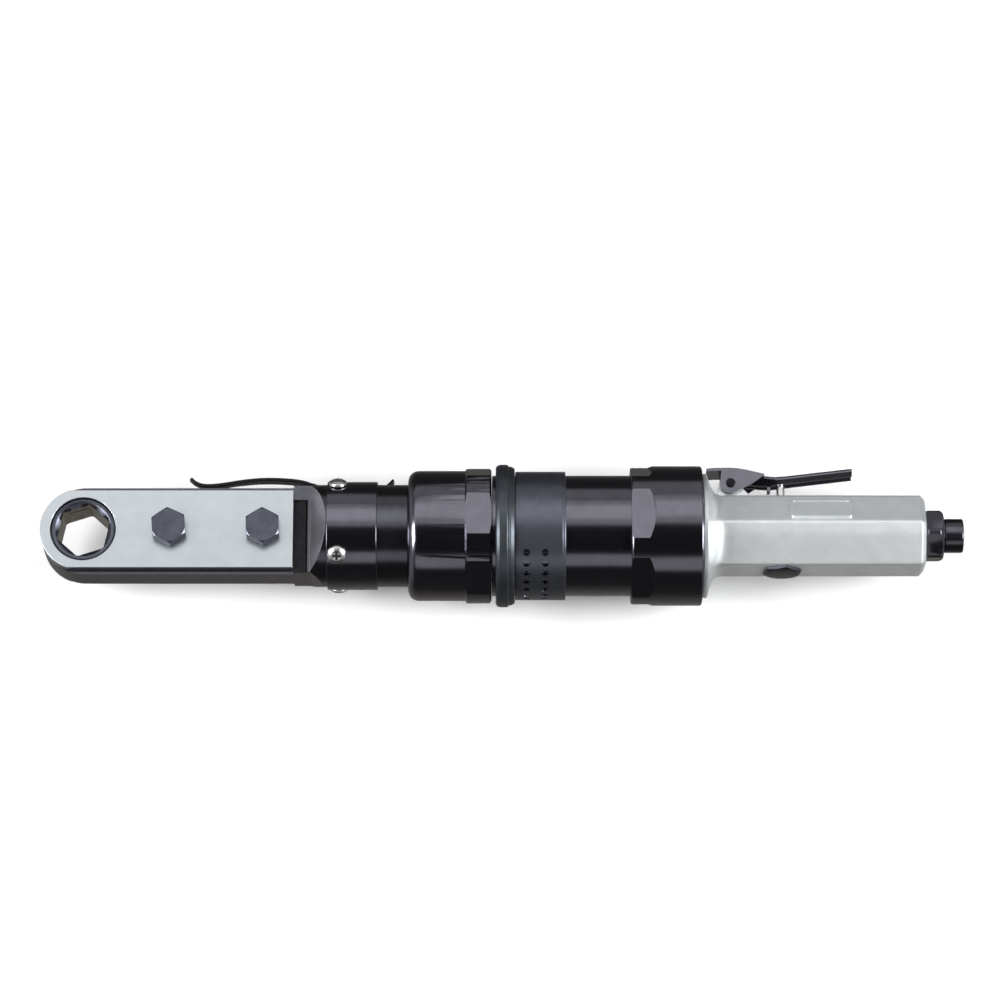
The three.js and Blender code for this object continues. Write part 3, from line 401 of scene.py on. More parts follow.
# name: (dark, light, roughness, metallic, grain, mottle, relief, stretch)
FINISHES = {
    "zinc_plate": (
        (0.65, 0.70, 0.735), (0.71, 0.76, 0.795), (0.28, 0.36), 1.0, 5200, 140, (0.03, 0.00003), ALONG),
    "black_oxide": (
        (0.10, 0.105, 0.135), (0.14, 0.145, 0.18), (0.26, 0.36), 1.0, 4200, 260, (0.04, 0.00003), EVEN),
    "socket_steel": (
        (0.22, 0.21, 0.18), (0.36, 0.34, 0.31), (0.30, 0.42), 0.85, 3800, 400, (0.08, 0.00005), EVEN),
    "black_anodised": (
        (0.12, 0.12, 0.142), (0.145, 0.145, 0.17), (0.20, 0.26), 1.0, 5200, 220, (0.02, 0.00002), ALONG),
    # A lighter, rougher copy of the housing's dark finish, used on its ramp: painted highlight where the ramp
    # faces the side light.
    "painted_highlight_anodised": (
        (0.36, 0.35, 0.38), (0.44, 0.43, 0.46), (0.36, 0.46), 1.0, 5200, 220, (0.03, 0.00003), EVEN),
    "black_paint": (
        (0.18, 0.178, 0.21), (0.21, 0.208, 0.245), (0.16, 0.21), 1.0, 4600, 180, (0.02, 0.00002), EVEN),
    "black_rubber": (
        (0.075, 0.085, 0.098), (0.095, 0.106, 0.120), (0.38, 0.46), 0.92, 2600, 300, (0.06, 0.00005), EVEN),
    "sleeve_plastic": (
        (0.135, 0.145, 0.175), (0.160, 0.170, 0.205), (0.31, 0.38), 0.94, 3000, 240, (0.05, 0.00004), EVEN),
    "cast_aluminium": (
        (0.78, 0.815, 0.82), (0.86, 0.895, 0.90), (0.38, 0.47), 0.85, 2600, 160, (0.05, 0.00004), SHORT),
    "nickel": (
        (0.74, 0.75, 0.73), (0.88, 0.88, 0.86), (0.22, 0.32), 1.0, 4200, 500, (0.03, 0.00003), EVEN),
    "gear_steel": (
        (0.30, 0.31, 0.33), (0.44, 0.45, 0.47), (0.25, 0.40), 1.0, 4200, 400, (0.12, 0.00006), EVEN),
    "bronze": (
        (0.42, 0.28, 0.12), (0.58, 0.42, 0.20), (0.30, 0.45), 1.0, 4800, 700, (0.2, 0.00008), EVEN),
    "phenolic": (
        (0.13, 0.055, 0.022), (0.21, 0.095, 0.04), (0.50, 0.65), 0.0, 2600, 500, (0.2, 0.0001), ALONG),
    "spring_steel": (
        (0.010, 0.010, 0.012), (0.020, 0.020, 0.023), (0.20, 0.32), 0.8, 4200, 300, (0.08, 0.00005), EVEN),
}
MATERIALS = {name: finish_with(name, *values) for name, values in FINISHES.items()}
for node, cad_object in frame["nodes"].items():
    cad_object.data.materials.clear()
    cad_object.data.materials.append(MATERIALS[SLOT_OF[node]])


# ---------------------------------------------------------------- head

plate_low, plate_high = span("front_plate")
RIM_GAP = 0.4
RIM_RADIUS = 12.7
SOCKET_FLATS = 19.0
SOCKET_TURN = 18.0
MOUTH_RADIUS = 11.1
GROOVE_RADIUS = 10.5
BOLT_FLATS = 13.0
BOLT_TURNS = (35.0, 32.0)
BOLT_HOLE = 4.1


def head_outline(half_width, end_radius, reach, shift=0.0):
    """A round end about the socket and straight sides out to reach."""
    start = math.degrees(math.asin(min(1.0, half_width / end_radius)))
    left = arc(shift, 0, end_radius, 180 - start, 180 + start, 72)
    return [(reach, -half_width), (reach, half_width)] + left


def head_plate(node):
    low, high = span(node)
    piece = prism(node + "_look", head_outline(plate_high.y, -plate_low.x, plate_high.x), low.z, high.z)
    cut(piece, prism("hole", circle(RIM_RADIUS + RIM_GAP, steps=128), low.z - 1, high.z + 1))
    for bolt in ("head_bolt_1", "head_bolt_2"):
        x = (span(bolt)[0].x + span(bolt)[1].x) / 2
        cut(piece, prism("hole", circle(BOLT_HOLE, x, steps=48), low.z - 1, high.z + 1))
    return fit(soften(piece, 0.4), node)


head_plate("front_plate")
head_plate("back_plate")

FACE = plate_high.z
FRAME_HALF = plate_low.z - GAP
FRAME_SIDE = 18.0
FRAME_WALL = 3.0
BLOCK_START = plate_high.x + GAP
RAMP_START = BLOCK_START + 6.6
TUBE_START = RAMP_START + 6.0
TUBE_RADIUS = 20.4
CASE_START = span("gear_case")[0].x
CHANNEL_DEPTH = 2.25
CHANNEL_PAD = 6.0
NECK_BORE = 7.0
BEARING_BORE = 11.2
leaf_low, leaf_high = span("leaf_lever")


def head_housing():
    end_radius = FRAME_SIDE
    shift = end_radius + plate_low.x
    horseshoe = prism("head_housing_look", head_outline(FRAME_SIDE, end_radius, BLOCK_START + 0.5, shift),
                      -FRAME_HALF, FRAME_HALF)
    cavity = FRAME_SIDE - FRAME_WALL
    inside = head_outline(cavity, cavity, BLOCK_START)
    cut(horseshoe, prism("cavity", inside, -FRAME_HALF - 1, FRAME_HALF + 1))
    neck_end = CASE_START - GAP
    neck = lathe("neck", stepped((BLOCK_START, neck_end, TUBE_RADIUS)))
    ramp = [(BLOCK_START - 1, FACE), (RAMP_START, FACE), (TUBE_START + 0.8, TUBE_RADIUS + 0.6),
            (CASE_START + 1, TUBE_RADIUS + 0.6)]
    side = [(BLOCK_START - 1, FRAME_SIDE), (RAMP_START, FRAME_SIDE), (TUBE_START, TUBE_RADIUS + 0.6),
            (CASE_START + 1, TUBE_RADIUS + 0.6)]
    mirrored = [(x, -z) for x, z in reversed(ramp)]
    keep(neck, prism("ramp", [(z, x) for x, z in ramp + mirrored], -30, 30, along_y))
    keep(neck, prism("sides", side + [(x, -y) for x, y in reversed(side)], -30, 30, along_z))
    channel = [(FACE + 1, BLOCK_START - 1), (FACE - CHANNEL_DEPTH, BLOCK_START - 1),
               (FACE - 1.0, RAMP_START - 1.9), (FACE + 0.4, RAMP_START - 0.5), (FACE + 1, RAMP_START - 0.5)]
    channel_end = FRAME_SIDE - CHANNEL_PAD
    cut(neck, prism("channel", channel, -30, channel_end, along_y))
    piece = add(horseshoe, neck)
    groove_half = (leaf_high.z - leaf_low.z) / 2 + 0.4
    cut(piece, prism("groove", rectangle(RAMP_START - 1, CASE_START - 4, TUBE_RADIUS - 2.4, 30),
                     -groove_half, groove_half))
    soften(piece, 0.35, 28)
    step = TUBE_START + 2
    bore = stepped((BLOCK_START - 1, step, NECK_BORE), (step, CASE_START + 1, BEARING_BORE))
    fit(cut(piece, lathe("bore", bore, steps=64)), "head_housing")
    # Second material: near-black spring_steel on the channel's floor and walls, painted shade in the recess.
    piece.data.materials.append(MATERIALS["spring_steel"])
    # Third material: the lighter anodised copy on the ramp's faces, a painted highlight.
    piece.data.materials.append(MATERIALS["painted_highlight_anodised"])
    for face in piece.data.polygons:
        x, y, z = (face.center - ORIGIN) / MM
        # Channel floor and walls: painted shade.
        if BLOCK_START < x < RAMP_START - 0.4 and y < channel_end - 0.1 and FACE - 2.4 < z < FACE - 0.1:
            face.material_index = 1
        # Ramp faces turned towards minus x: painted highlight.
        elif RAMP_START - 0.5 < x < TUBE_START + 1 and face.normal.x < -0.4 and z > 0:
            face.material_index = 2


head_housing()


def socket_ring():
    """One closed band, swept round the hexagon: teeth and rims outside, chamfers and a groove inside."""
    low, high = span("socket_ring")
    wheel_half, tooth_depth, chamfer_depth = 5.0, 0.8, 1.6
    root = high.x - tooth_depth
    steps = 360
    points, faces = [], []
    for i in range(steps):
        from_tooth = abs((i + 5) % 10 - 5)
        tooth = high.x if from_tooth <= 1.5 else root + (high.x - root) * max(0.0, (4.5 - from_tooth) / 3)
        from_flat = math.radians((i - SOCKET_TURN) % 60 - 30)
        wall = SOCKET_FLATS / 2 / math.cos(from_flat)
        mouth = max(wall, MOUTH_RADIUS)
        inside = [(low.z + chamfer_depth, wall), (low.z + 0.1, mouth), (low.z, mouth + 0.2)]
        rim = [(low.z, RIM_RADIUS - 0.4), (low.z + 0.4, RIM_RADIUS), (-wheel_half, RIM_RADIUS)]
        outside = [(-wheel_half, tooth - 0.3), (-wheel_half + 0.3, tooth), (wheel_half - 0.3, tooth),
                   (wheel_half, tooth - 0.3)]
        top = [(wheel_half, RIM_RADIUS), (high.z - 0.4, RIM_RADIUS), (high.z, RIM_RADIUS - 0.4),
               (high.z, mouth + 0.2), (high.z - 0.1, mouth), (high.z - chamfer_depth, wall)]
        groove_top, groove_low, groove_wall = high.z - 4.4, high.z - 5.8, max(wall, GROOVE_RADIUS)
        groove = [(groove_top, wall), (groove_top, groove_wall),
                  (groove_low, groove_wall), (groove_low, wall)]
        angle = math.radians(i)
        section = inside + rim + outside + top + groove
        points += [(r * math.cos(angle), r * math.sin(angle), z) for z, r in section]
    count = len(points) // steps
    for i in range(steps):
        here, there = i * count, (i + 1) % steps * count
        for k in range(count):
            j = (k + 1) % count
            faces.append((here + k, here + j, there + j, there + k))
    piece = fit(make("socket_ring_look", points, faces), "socket_ring")
    piece.data.materials.append(MATERIALS["black_oxide"])
    for face in piece.data.polygons:
        if abs((face.center - ORIGIN).z) > (high.z - 1.0) * MM:
            face.material_index = 1


socket_ring()


def hex_head(name, flats, turn, x, low, high, ends=(True, True)):
    """A hexagonal head with turned chamfers at its ends."""
    piece = prism(name, hexagon(flats, turn, x), low, high)
    corner = flats / math.sqrt(3)
    drop = (corner - flats / 2) * 0.62
    profile = [(low, 0), (low, flats / 2 * 1.03 if ends[0] else corner + 1)]
    profile += [(low + drop, corner + 0.1)] if ends[0] else []
    profile += [(high - drop, corner + 0.1)] if ends[1] else []
    profile += [(high, flats / 2 * 1.03 if ends[1] else corner + 1), (high, 0)]
    return keep(piece, lathe("chamfers", profile, along_z, (x, 0), 96))


for number, turn in zip((1, 2), BOLT_TURNS):
    low, high = span(f"head_bolt_{number}")
    nut_low, nut_high = span(f"head_nut_{number}")
    x = (low.x + high.x) / 2
    bolt = hex_head(f"head_bolt_{number}_look", BOLT_FLATS, turn, x, FACE + 0.2, high.z, (False, True))
    shank = rounded([(low.z, 0), (low.z, 3.9, 0.7), (FACE + 1, 3.9), (FACE + 1, 0)], 0, closed=False)
    add(bolt, lathe("shank", shank, along_z, (x, 0), 48))
    fit(soften(bolt, 0.22), f"head_bolt_{number}")
    nut = hex_head(f"head_nut_{number}_look", BOLT_FLATS, turn, x, nut_low.z, nut_high.z)
    cut(nut, prism("hole", circle(BOLT_HOLE, x, steps=48), nut_low.z - 1, nut_high.z + 1))
    fit(soften(nut, 0.2), f"head_nut_{number}")


# ---------------------------------------------------------------- neck, collar and leaf lever

def leaf_lever():
    """A spring-steel strip: flared tip, long flat run above the head, a dive under the collar and a hook."""
    front, back = leaf_low.x, leaf_high.x
    run = FRAME_SIDE + 2.3
    under = TUBE_RADIUS - 1.0
    centre = smooth_line([
        (front + 0.2, leaf_high.y - 0.75), (front + 2.6, run + 1.5), (front + 6.5, run + 0.4),
        (front + 13, run + 0.8), (front + 20, run + 1.9), (front + 28, run + 2.7), (front + 36, run + 2.7),
        (front + 43, run + 2.1), (front + 49, run + 0.7), (front + 54, under + 0.2), (front + 61.5, under),
        (back - 12, under), (back - 6, under + 0.15), (back - 3, under + 0.9),
        (back - 0.3, leaf_high.y - 1.6),
    ], 6)
    points = []
    for i, (x, y) in enumerate(centre):
        before, after = Vector(centre[max(i - 1, 0)]), Vector(centre[min(i + 1, len(centre) - 1)])
        along = (after - before).normalized()
        half_thick = 0.7 if x < front + 48 else 0.5
        normal = Vector((-along.y, along.x)) * half_thick
        half = 1.6 + 0.9 * min(1.0, (x - front) / 30)
        for side, z in ((-1, -half), (1, -half), (1, half), (-1, half)):
            points.append((x + normal.x * side, y + normal.y * side, z))
    last = len(centre) - 1
    faces = [(0, 1, 2, 3), tuple(4 * last + k for k in range(4))]
    for i in range(last):
        for k in range(4):
            j = (k + 1) % 4
            faces.append((4 * i + k, 4 * i + j, 4 * i + 4 + j, 4 * i + 4 + k))
    return fit(soften(make("leaf_lever_look", points, faces), 0.3, 40), "leaf_lever")


leaf_lever()

collar_low, collar_high = span("collar")
COLLAR_RADIUS = collar_high.y
SCREW_CLOCKING = 53.0
SCREW_RADIUS = 3.7
SCREW_HEIGHT = 2.0


def collar():
    inner = TUBE_RADIUS + 0.2
    ring = rounded([(collar_low.x, inner), (collar_low.x, COLLAR_RADIUS), (collar_high.x, COLLAR_RADIUS),
                    (collar_high.x, inner)], 0.3)
    return fit(lathe("collar_look", ring), "collar")


collar()


def collar_screw(number):
    """A pan head with a cross recess, drawn out along z and turned to its place round the neck."""
    low = COLLAR_RADIUS + 0.15
    top = low + SCREW_HEIGHT
    x = (span("collar_screw_1")[0].x + span("collar_screw_1")[1].x) / 2
    profile = rounded([
        (low - 6, 0), (low - 6, 1.9), (low, 1.9), (low, SCREW_RADIUS, 0.25), (low + 1.0, SCREW_RADIUS, 0.8),
        (top - 0.12, 2.2, 1.5), (top, 0.9, 0.3), (top, 0),
    ], 0, closed=False, steps=6)
    node = f"collar_screw_{number}"
    piece = lathe(node + "_look", profile, along_z, (x, 0), 72)
    depth, wing, wide = 1.5, 2.15, 0.52
    for turn in (0, 90):
        outline = rectangle(-wing, wing, -wide, wide)
        bottom = rectangle(-wing * 0.42, wing * 0.42, -wide * 0.7, wide * 0.7)
        if turn:
            outline = [(v, u) for u, v in outline]
            bottom = [(v, u) for u, v in bottom]
        shifted = [[(u + x, v) for u, v in shape] for shape in (bottom, outline)]
        cut(piece, loft("recess", [(top - depth, shifted[0]), (top + 0.3, shifted[1])], along_z))
    soften(piece, 0.1, 40, 2)
    place = -SCREW_CLOCKING + 90 * (number - 1)
    fit(turn_x(piece, place), node)
    # Second material: black_oxide on the cross recess below the head's top, painted shade in the recess.
    piece.data.materials.append(MATERIALS["black_oxide"])
    centre = turned_point((x, 0, top - depth), place)
    for face in piece.data.polygons:
        in_recess_shade = (face.center - centre).length < (wing + 0.2) * MM
        if in_recess_shade and (face.center - ORIGIN).yz.length < (top - 0.3) * MM:
            face.material_index = 1


for number in range(1, 5):
    collar_screw(number)


# ---------------------------------------------------------------- gear case and motor

FACET_TURN = 2.8


def gear_case():
    """A round cup with a band of six wrench flats, its corners turned down."""
    low, high = span("gear_case")
    radius, bore, mouth, wall, shoulder = 26.0, 22.2, 11, 2.6, 4.2
    band_start = low.x + 22.7
    cup_end = band_start + 1
    piece = lathe("gear_case_look", rounded(
        [(low.x, mouth), (low.x, radius, shoulder), (cup_end, radius), (cup_end, mouth)], 0, steps=10))
    band = prism("band", hexagon(51.8, -FACET_TURN), band_start, high.x, along_x)
    corner, edge = 27.2, 26.1
    keep(band, lathe("chamfers", [
        (band_start, 0), (band_start, edge), (band_start + 1.0, corner + 0.4), (high.x - 1.0, corner + 0.4),
        (high.x, edge), (high.x, 0)]))
    keep(band, lathe("corners", [
        (band_start - 1, 0), (band_start - 1, corner), (high.x + 1, corner), (high.x + 1, 0)]))
    add(piece, band)
    cut(piece, lathe("bores", [
        (low.x - 1, 0), (low.x - 1, mouth), (low.x + wall, mouth), (low.x + wall, bore), (high.x + 1, bore),
        (high.x + 1, 0)]))
    return fit(soften(piece, 0.28, 20), "gear_case")


gear_case()

MOTOR_RADIUS = span("motor_case")[1].y


def motor_case():
    low, high = span("motor_case")
    ring = [(low.x, 21.0), (low.x, MOTOR_RADIUS), (high.x, MOTOR_RADIUS), (high.x, 21.0)]
    return fit(lathe("motor_case_look", rounded(ring, 0.3)), "motor_case")


motor_case()


def bumper_ring():
    low, high = span("bumper_ring")
    outer = high.y
    inner = MOTOR_RADIUS + 0.3
    ring = rounded([
        (low.x, inner, 0.2), (low.x, outer - 0.8, 1.2), (low.x + 1.6, outer, 1.4), (high.x - 2.9, outer, 0.9),
        (high.x - 2.2, outer - 0.9, 0.5), (high.x - 1.6, outer - 0.7, 0.4), (high.x, outer - 1.5, 0.8),
        (high.x, inner, 0.2),
    ], 0.2, steps=6)
    return fit(lathe("bumper_ring_look", ring), "bumper_ring")


bumper_ring()

HOLE_RADIUS = 1.45
HOLE_COLUMNS = (4.4, 11.8)
HOLE_ROWS = 12
HOLE_PITCH = 10.5


def exhaust_sleeve():
    low, high = span("exhaust_sleeve")
    outer = high.y - 0.05
    inner = MOTOR_RADIUS + 0.4
    ring = rounded([
        (low.x, inner, 0.1), (low.x, outer, 0.3), (high.x - 1.3, outer, 0.2),
        (high.x - 1.15, outer - 0.16, 0.05), (high.x - 1.0, outer, 0.2), (high.x, outer, 0.55),
        (high.x, inner, 0.1),
    ], 0.1, steps=5)
    piece = lathe("exhaust_sleeve_look", ring, steps=192)
    for column in HOLE_COLUMNS:
        for row in range(HOLE_ROWS):
            hole = prism("hole", circle(HOLE_RADIUS, 0, low.x + column, 28), -outer - 2, -inner + 3, along_y)
            cut(piece, turn_x(hole, (row - (HOLE_ROWS - 1) / 2) * HOLE_PITCH))
    return fit(soften(piece, 0.16, 35, 2), "exhaust_sleeve")


exhaust_sleeve()


def clamp_nut():
    """A ring with six flats cut in from one end, each with a bowed edge where it runs out."""
    low, high = span("clamp_nut")
    radius, flat, flat_length, bow = high.y, 25.9, 9.6, 3.4
    inner, outer = MOTOR_RADIUS + 0.3, radius - 0.1
    ring = rounded([(low.x, inner), (low.x, outer, 0.9), (high.x, outer, 0.9), (high.x, inner)], 0, steps=5)
    piece = lathe("clamp_nut_look", ring, steps=192)
    end = low.x + flat_length
    plan = [(-30, low.x - 2), (-30, end - bow)]
    plan += [(t, end - bow * (abs(t) / 12.0) ** 2) for t in range(-12, 13, 2)]
    plan += [(30, end - bow), (30, low.x - 2)]
    for i in range(6):
        chip = prism("chip", plan, flat, radius + 4, lambda u, v, w: (v, u, w))
        cut(piece, turn_x(chip, 60 * i - FACET_TURN))
    return fit(soften(piece, 0.22, 12), "clamp_nut")


clamp_nut()


# ---------------------------------------------------------------- handle

handle_low, handle_high = span("handle")
FLANGE_START = span("clamp_nut")[1].x + 0.2
FLANGE_RADIUS = 24.8
FLANGE_LENGTH = 2.2
FLARE_LENGTH = 9.0
GRIP_HALF = 14.5
GRIP_END = handle_high.x
SHARPNESS = 70
CORNER_FLAT = 0.6
CORNER_TURNS = (107, 253)
pin_low, pin_high = span("lever_pin")
PIVOT = Vector(((pin_low.x + pin_high.x) / 2, (pin_low.y + pin_high.y) / 2))
PIN_BORE = 1.7
VALVE_X = (span("valve_stem")[0].x + span("valve_stem")[1].x) / 2


def grip_radius(angle, half):
    """Radius of a hexagon with soft corners, flats facing plus and minus y and a flat on two corners."""
    walls = [(k * math.pi / 3, half) for k in range(6)]
    walls += [(math.radians(turn), half + CORNER_FLAT) for turn in CORNER_TURNS]
    total = 0.0
    for turn, reach in walls:
        facing = math.cos(angle - turn)
        if facing > 0:
            total += (facing / reach) ** SHARPNESS
    return total ** (-1 / SHARPNESS)


def handle_section(round_share, radius, half):
    """A section between a circle and the grip's hexagon, as (y, z) points."""
    outline = []
    for i in range(GRIP_STEPS):
        angle = 2 * math.pi * i / GRIP_STEPS
        r = round_share * radius + (1 - round_share) * grip_radius(angle, half)
        outline.append((r * math.cos(angle), r * math.sin(angle)))
    return outline


def handle():
    """The flange, the flare down to the grip, the lever's lug and the bores."""
    flange_end = FLANGE_START + FLANGE_LENGTH
    rim = ((FLANGE_START, 0.4), (FLANGE_START + 0.15, 0.12), (FLANGE_START + 0.45, 0), (flange_end - 0.7, 0))
    sections = [(x, handle_section(1, FLANGE_RADIUS - drop, GRIP_HALF)) for x, drop in rim]
    steps = 16
    neck = GRIP_HALF * 1.08
    for i in range(steps + 1):
        t = i / steps
        drop = (1 - t) ** 2.6
        x = flange_end - 0.2 + (FLARE_LENGTH + 0.2) * t
        radius = neck + (FLANGE_RADIUS - 0.5 - neck) * drop
        sections.append((x, handle_section(drop ** 0.8, radius, GRIP_HALF)))
    for before, drop in ((2.1, 0), (1.7, 0.2), (0.4, 1.4), (0, 1.95)):
        sections.append((GRIP_END - before, handle_section(0, 0, GRIP_HALF - drop)))
    piece = loft("handle_look", sections)
    lug = [(PIVOT.x - 6, GRIP_HALF - 2), (PIVOT.x - 4.4, PIVOT.y + 1.4, 1.2),
           (PIVOT.x + 1.8, PIVOT.y + 1.9, 1.6), (PIVOT.x + 9.5, GRIP_HALF - 0.5, 2.5),
           (PIVOT.x + 11, GRIP_HALF - 2)]
    add(piece, soften(prism("lug", rounded(lug, 0), -4.2, 4.2), 0.5, 40))
    cut(piece, prism("pin_bore", circle(PIN_BORE, PIVOT.x, PIVOT.y, 32), -8, 8))
    stem_bore = stepped((GRIP_HALF - 6, GRIP_HALF + 1, 2.8))
    cap_bore = stepped((-GRIP_HALF - 1, -GRIP_HALF + 4, 6.2), (-GRIP_HALF + 4, GRIP_HALF - 5, 4.6))
    cut(piece, lathe("stem_bore", stem_bore, along_y, (0, VALVE_X), 48))
    cut(piece, lathe("cap_bore", cap_bore, along_y, (0, VALVE_X), 48))
    cut(piece, lathe("inlet_bore", stepped((GRIP_END - 15, GRIP_END + 1, 7.6))))
    shoulder = FLANGE_START - 7
    spigot = stepped((handle_low.x, shoulder, 20.8), (shoulder, FLANGE_START + 0.5, 23.7))
    add(piece, lathe("spigot", spigot))
    cut(piece, lathe("airway", stepped((handle_low.x - 1, GRIP_END - 14, 4.2)), steps=64))
    return fit(soften(piece, 0.22, 50, 2), "handle")


handle()


def name_plate():
    """A blank raised plate with a thin rim, lying on the upper front flat."""
    low, high = span("name_plate")
    half = 5.0
    base, top = GRIP_HALF - 0.1, GRIP_HALF + 0.78
    outline = rounded(rectangle(low.x, high.x, -half, half), 1.2, steps=6)
    piece = soften(prism("name_plate_look", outline, base, top), 0.3, 40)
    inset = rounded(rectangle(low.x + 0.8, high.x - 0.8, -half + 0.8, half - 0.8), 0.8, steps=6)
    cut(piece, prism("panel", inset, top - 0.18, top + 1))
    return fit(turn_x(piece, -30), "name_plate")


name_plate()


# ---------------------------------------------------------------- throttle

LEVER_SHEET = 1.2
LEVER_SIDE = 5.4
EAR_RADIUS = 4.2
ARM_HALF = 4.2
ARM_SIDE = 3.2
ARM_START = 6
ARM_TAPER = 14
SIDE_LEAN = 0.36
LARGEST_FOLD = 1.3
lever_high = span("throttle_lever")[1]


def lever_top():
    x, y = PIVOT
    return smooth_line([
        (x - 9.6, y + 6.0), (x - 6, y + 6.35), (x + 2, y + 6.3), (x + 8, y + 5.2), (x + 13.5, y + 3.9),
        (x + 19.4, y + 3.5), (x + 34, y + 5.2), (x + 48.8, y + 6.95),
    ], 6)


def channel(top, half, side):
    """The arm's folded section as (y, z) points: a rounded back and sides that lean in to their ends."""
    lean = SIDE_LEAN * side
    fold = min(LARGEST_FOLD, 0.45 * side)
    outline = [(top - side, half - lean)]
    for turn in range(100, -1, -20):
        angle = math.radians(turn)
        outline.append((top - fold + fold * math.cos(angle), half - fold + fold * math.sin(angle)))
    inner = [(top - side, half - lean - LEVER_SHEET), (top - LEVER_SHEET, half - LEVER_SHEET - 0.4)]
    mirrored = [(y, -z) for y, z in reversed(outline)]
    return outline + mirrored + [(y, -z) for y, z in inner] + list(reversed(inner))


def throttle_lever():
    """A folded sheet channel: a web that follows lever_top, two round ears at the pin and a long arm."""
    top = lever_top()
    half = lever_high.z
    web = [p for p in top if p[0] <= PIVOT.x + 13.5]
    below = [(x, y - LEVER_SHEET) for x, y in reversed(web)]
    piece = prism("throttle_lever_look", web + below, -half, half)
    side_wall = [p for p in web if p[0] > PIVOT.x - EAR_RADIUS]
    side_wall += [(PIVOT.x + 13.4, PIVOT.y + 3.2), (PIVOT.x + 8.2, PIVOT.y - 0.4),
                  (PIVOT.x + 1.2, PIVOT.y - 4.0), (PIVOT.x - EAR_RADIUS, PIVOT.y)]
    for side in (-1, 1):
        inner, outer = sorted((side * half, side * (half - LEVER_SHEET)))
        add(piece, prism("side", side_wall, inner, outer))
        add(piece, prism("ear", circle(EAR_RADIUS, PIVOT.x, PIVOT.y, 48), inner, outer))
    sections = []
    for x, y in [p for p in top if p[0] > PIVOT.x + ARM_START]:
        share = min(1.0, (x - PIVOT.x - ARM_START) / ARM_TAPER)
        sections.append((x, channel(y - 0.02, ARM_HALF, LEVER_SIDE - (LEVER_SIDE - ARM_SIDE) * share)))
    add(piece, loft("long_arm", sections))
    tab = rectangle(VALVE_X - 5.4, VALVE_X - 4.2, GRIP_HALF + 3.6, PIVOT.y + 3.4)
    add(piece, prism("tab", tab, -2.2, 2.2))
    cut(piece, prism("pin_hole", circle(PIN_BORE, PIVOT.x, PIVOT.y, 32), -half - 1, half + 1))
    return fit(soften(piece, 0.35, 32), "throttle_lever")


throttle_lever()

pin_profile = rounded([
    (pin_low.z, 0), (pin_low.z, 1.9, 0.3), (pin_low.z + 0.55, 1.9, 0.1), (pin_low.z + 0.55, 1.5),
    (pin_high.z - 0.55, 1.5), (pin_high.z - 0.55, 1.9, 0.1), (pin_high.z, 1.9, 0.3), (pin_high.z, 0),
], 0, closed=False)
fit(lathe("lever_pin_look", pin_profile, along_z, PIVOT, 48), "lever_pin", MATERIALS["spring_steel"])

stem_low, stem_high = span("valve_stem")
stem_profile = rounded([
    (stem_low.y, 0), (stem_low.y, 3.4, 0.4), (stem_low.y + 4, 3.4, 0.4), (stem_low.y + 4, 1.6),
    (stem_high.y, 1.6, 0.7), (stem_high.y, 0),
], 0, closed=False, steps=6)
fit(lathe("valve_stem_look", stem_profile, along_y, (0, VALVE_X), 48), "valve_stem")

bush_low, bush_high = span("stem_bushing")
bush_profile = rounded(
    [(bush_low.y, 1.8), (bush_low.y, 2.6), (bush_high.y, 2.6, 0.2), (bush_high.y, 1.8, 0.2)], 0)
fit(lathe("stem_bushing_look", bush_profile, along_y, (0, VALVE_X), 48), "stem_bushing")

SPRING_WIRE = 0.35
SPRING_TURNS = 5


def valve_spring():
    """A coil between the cap, on the tool, and the valve's head."""
    low, high = span("valve_spring")
    radius = (high.x - low.x) / 2 - SPRING_WIRE
    start, end = low.y + SPRING_WIRE, high.y - SPRING_WIRE
    steps, sides = 24 * SPRING_TURNS, 8
    points = []
    for i in range(steps + 1):
        turn = 2 * math.pi * SPRING_TURNS * i / steps
        outward = Vector((math.cos(turn), 0, math.sin(turn)))
        centre = Vector((VALVE_X, start + (end - start) * i / steps, 0)) + outward * radius
        for k in range(sides):
            angle = 2 * math.pi * k / sides
            around = outward * math.cos(angle) + Vector((0, math.sin(angle), 0))
            points.append(centre + around * SPRING_WIRE)
    faces = [tuple(range(sides)), tuple(range(len(points) - sides, len(points)))]
    for i in range(steps):
        for k in range(sides):
            j = (k + 1) % sides
            faces.append((sides * i + k, sides * i + j, sides * (i + 1) + j, sides * (i + 1) + k))
    piece = shade(make("valve_spring_look", points, faces))
    piece.data.materials.append(MATERIALS[SLOT_OF["valve_spring"]])
    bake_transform(piece)
    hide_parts("valve_spring")


valve_spring()

cap_low, cap_high = span("valve_cap")


def valve_cap():
    flats = 14.0
    shoulder = -GRIP_HALF - 0.15
    piece = prism("valve_cap_look", hexagon(flats, 10, 0, VALVE_X), cap_low.y, shoulder, along_y)
    corner = flats / math.sqrt(3)
    dome = [(cap_low.y, 0), (cap_low.y, flats * 0.4), (cap_low.y + 0.45, flats * 0.5),
            (cap_low.y + 0.85, corner + 0.1), (shoulder, corner + 0.1), (shoulder, 0)]
    keep(piece, lathe("chamfer", dome, along_y, (0, VALVE_X), 96))
    bottom = shoulder - 0.3
    thread = rounded([(bottom, 0), (bottom, 5.8), (cap_high.y, 5.8, 0.5), (cap_high.y, 0)], 0, closed=False)
    add(piece, lathe("thread", thread, along_y, (0, VALVE_X), 64))
    return fit(soften(piece, 0.2, 25), "valve_cap")


valve_cap()


# ---------------------------------------------------------------- air inlet

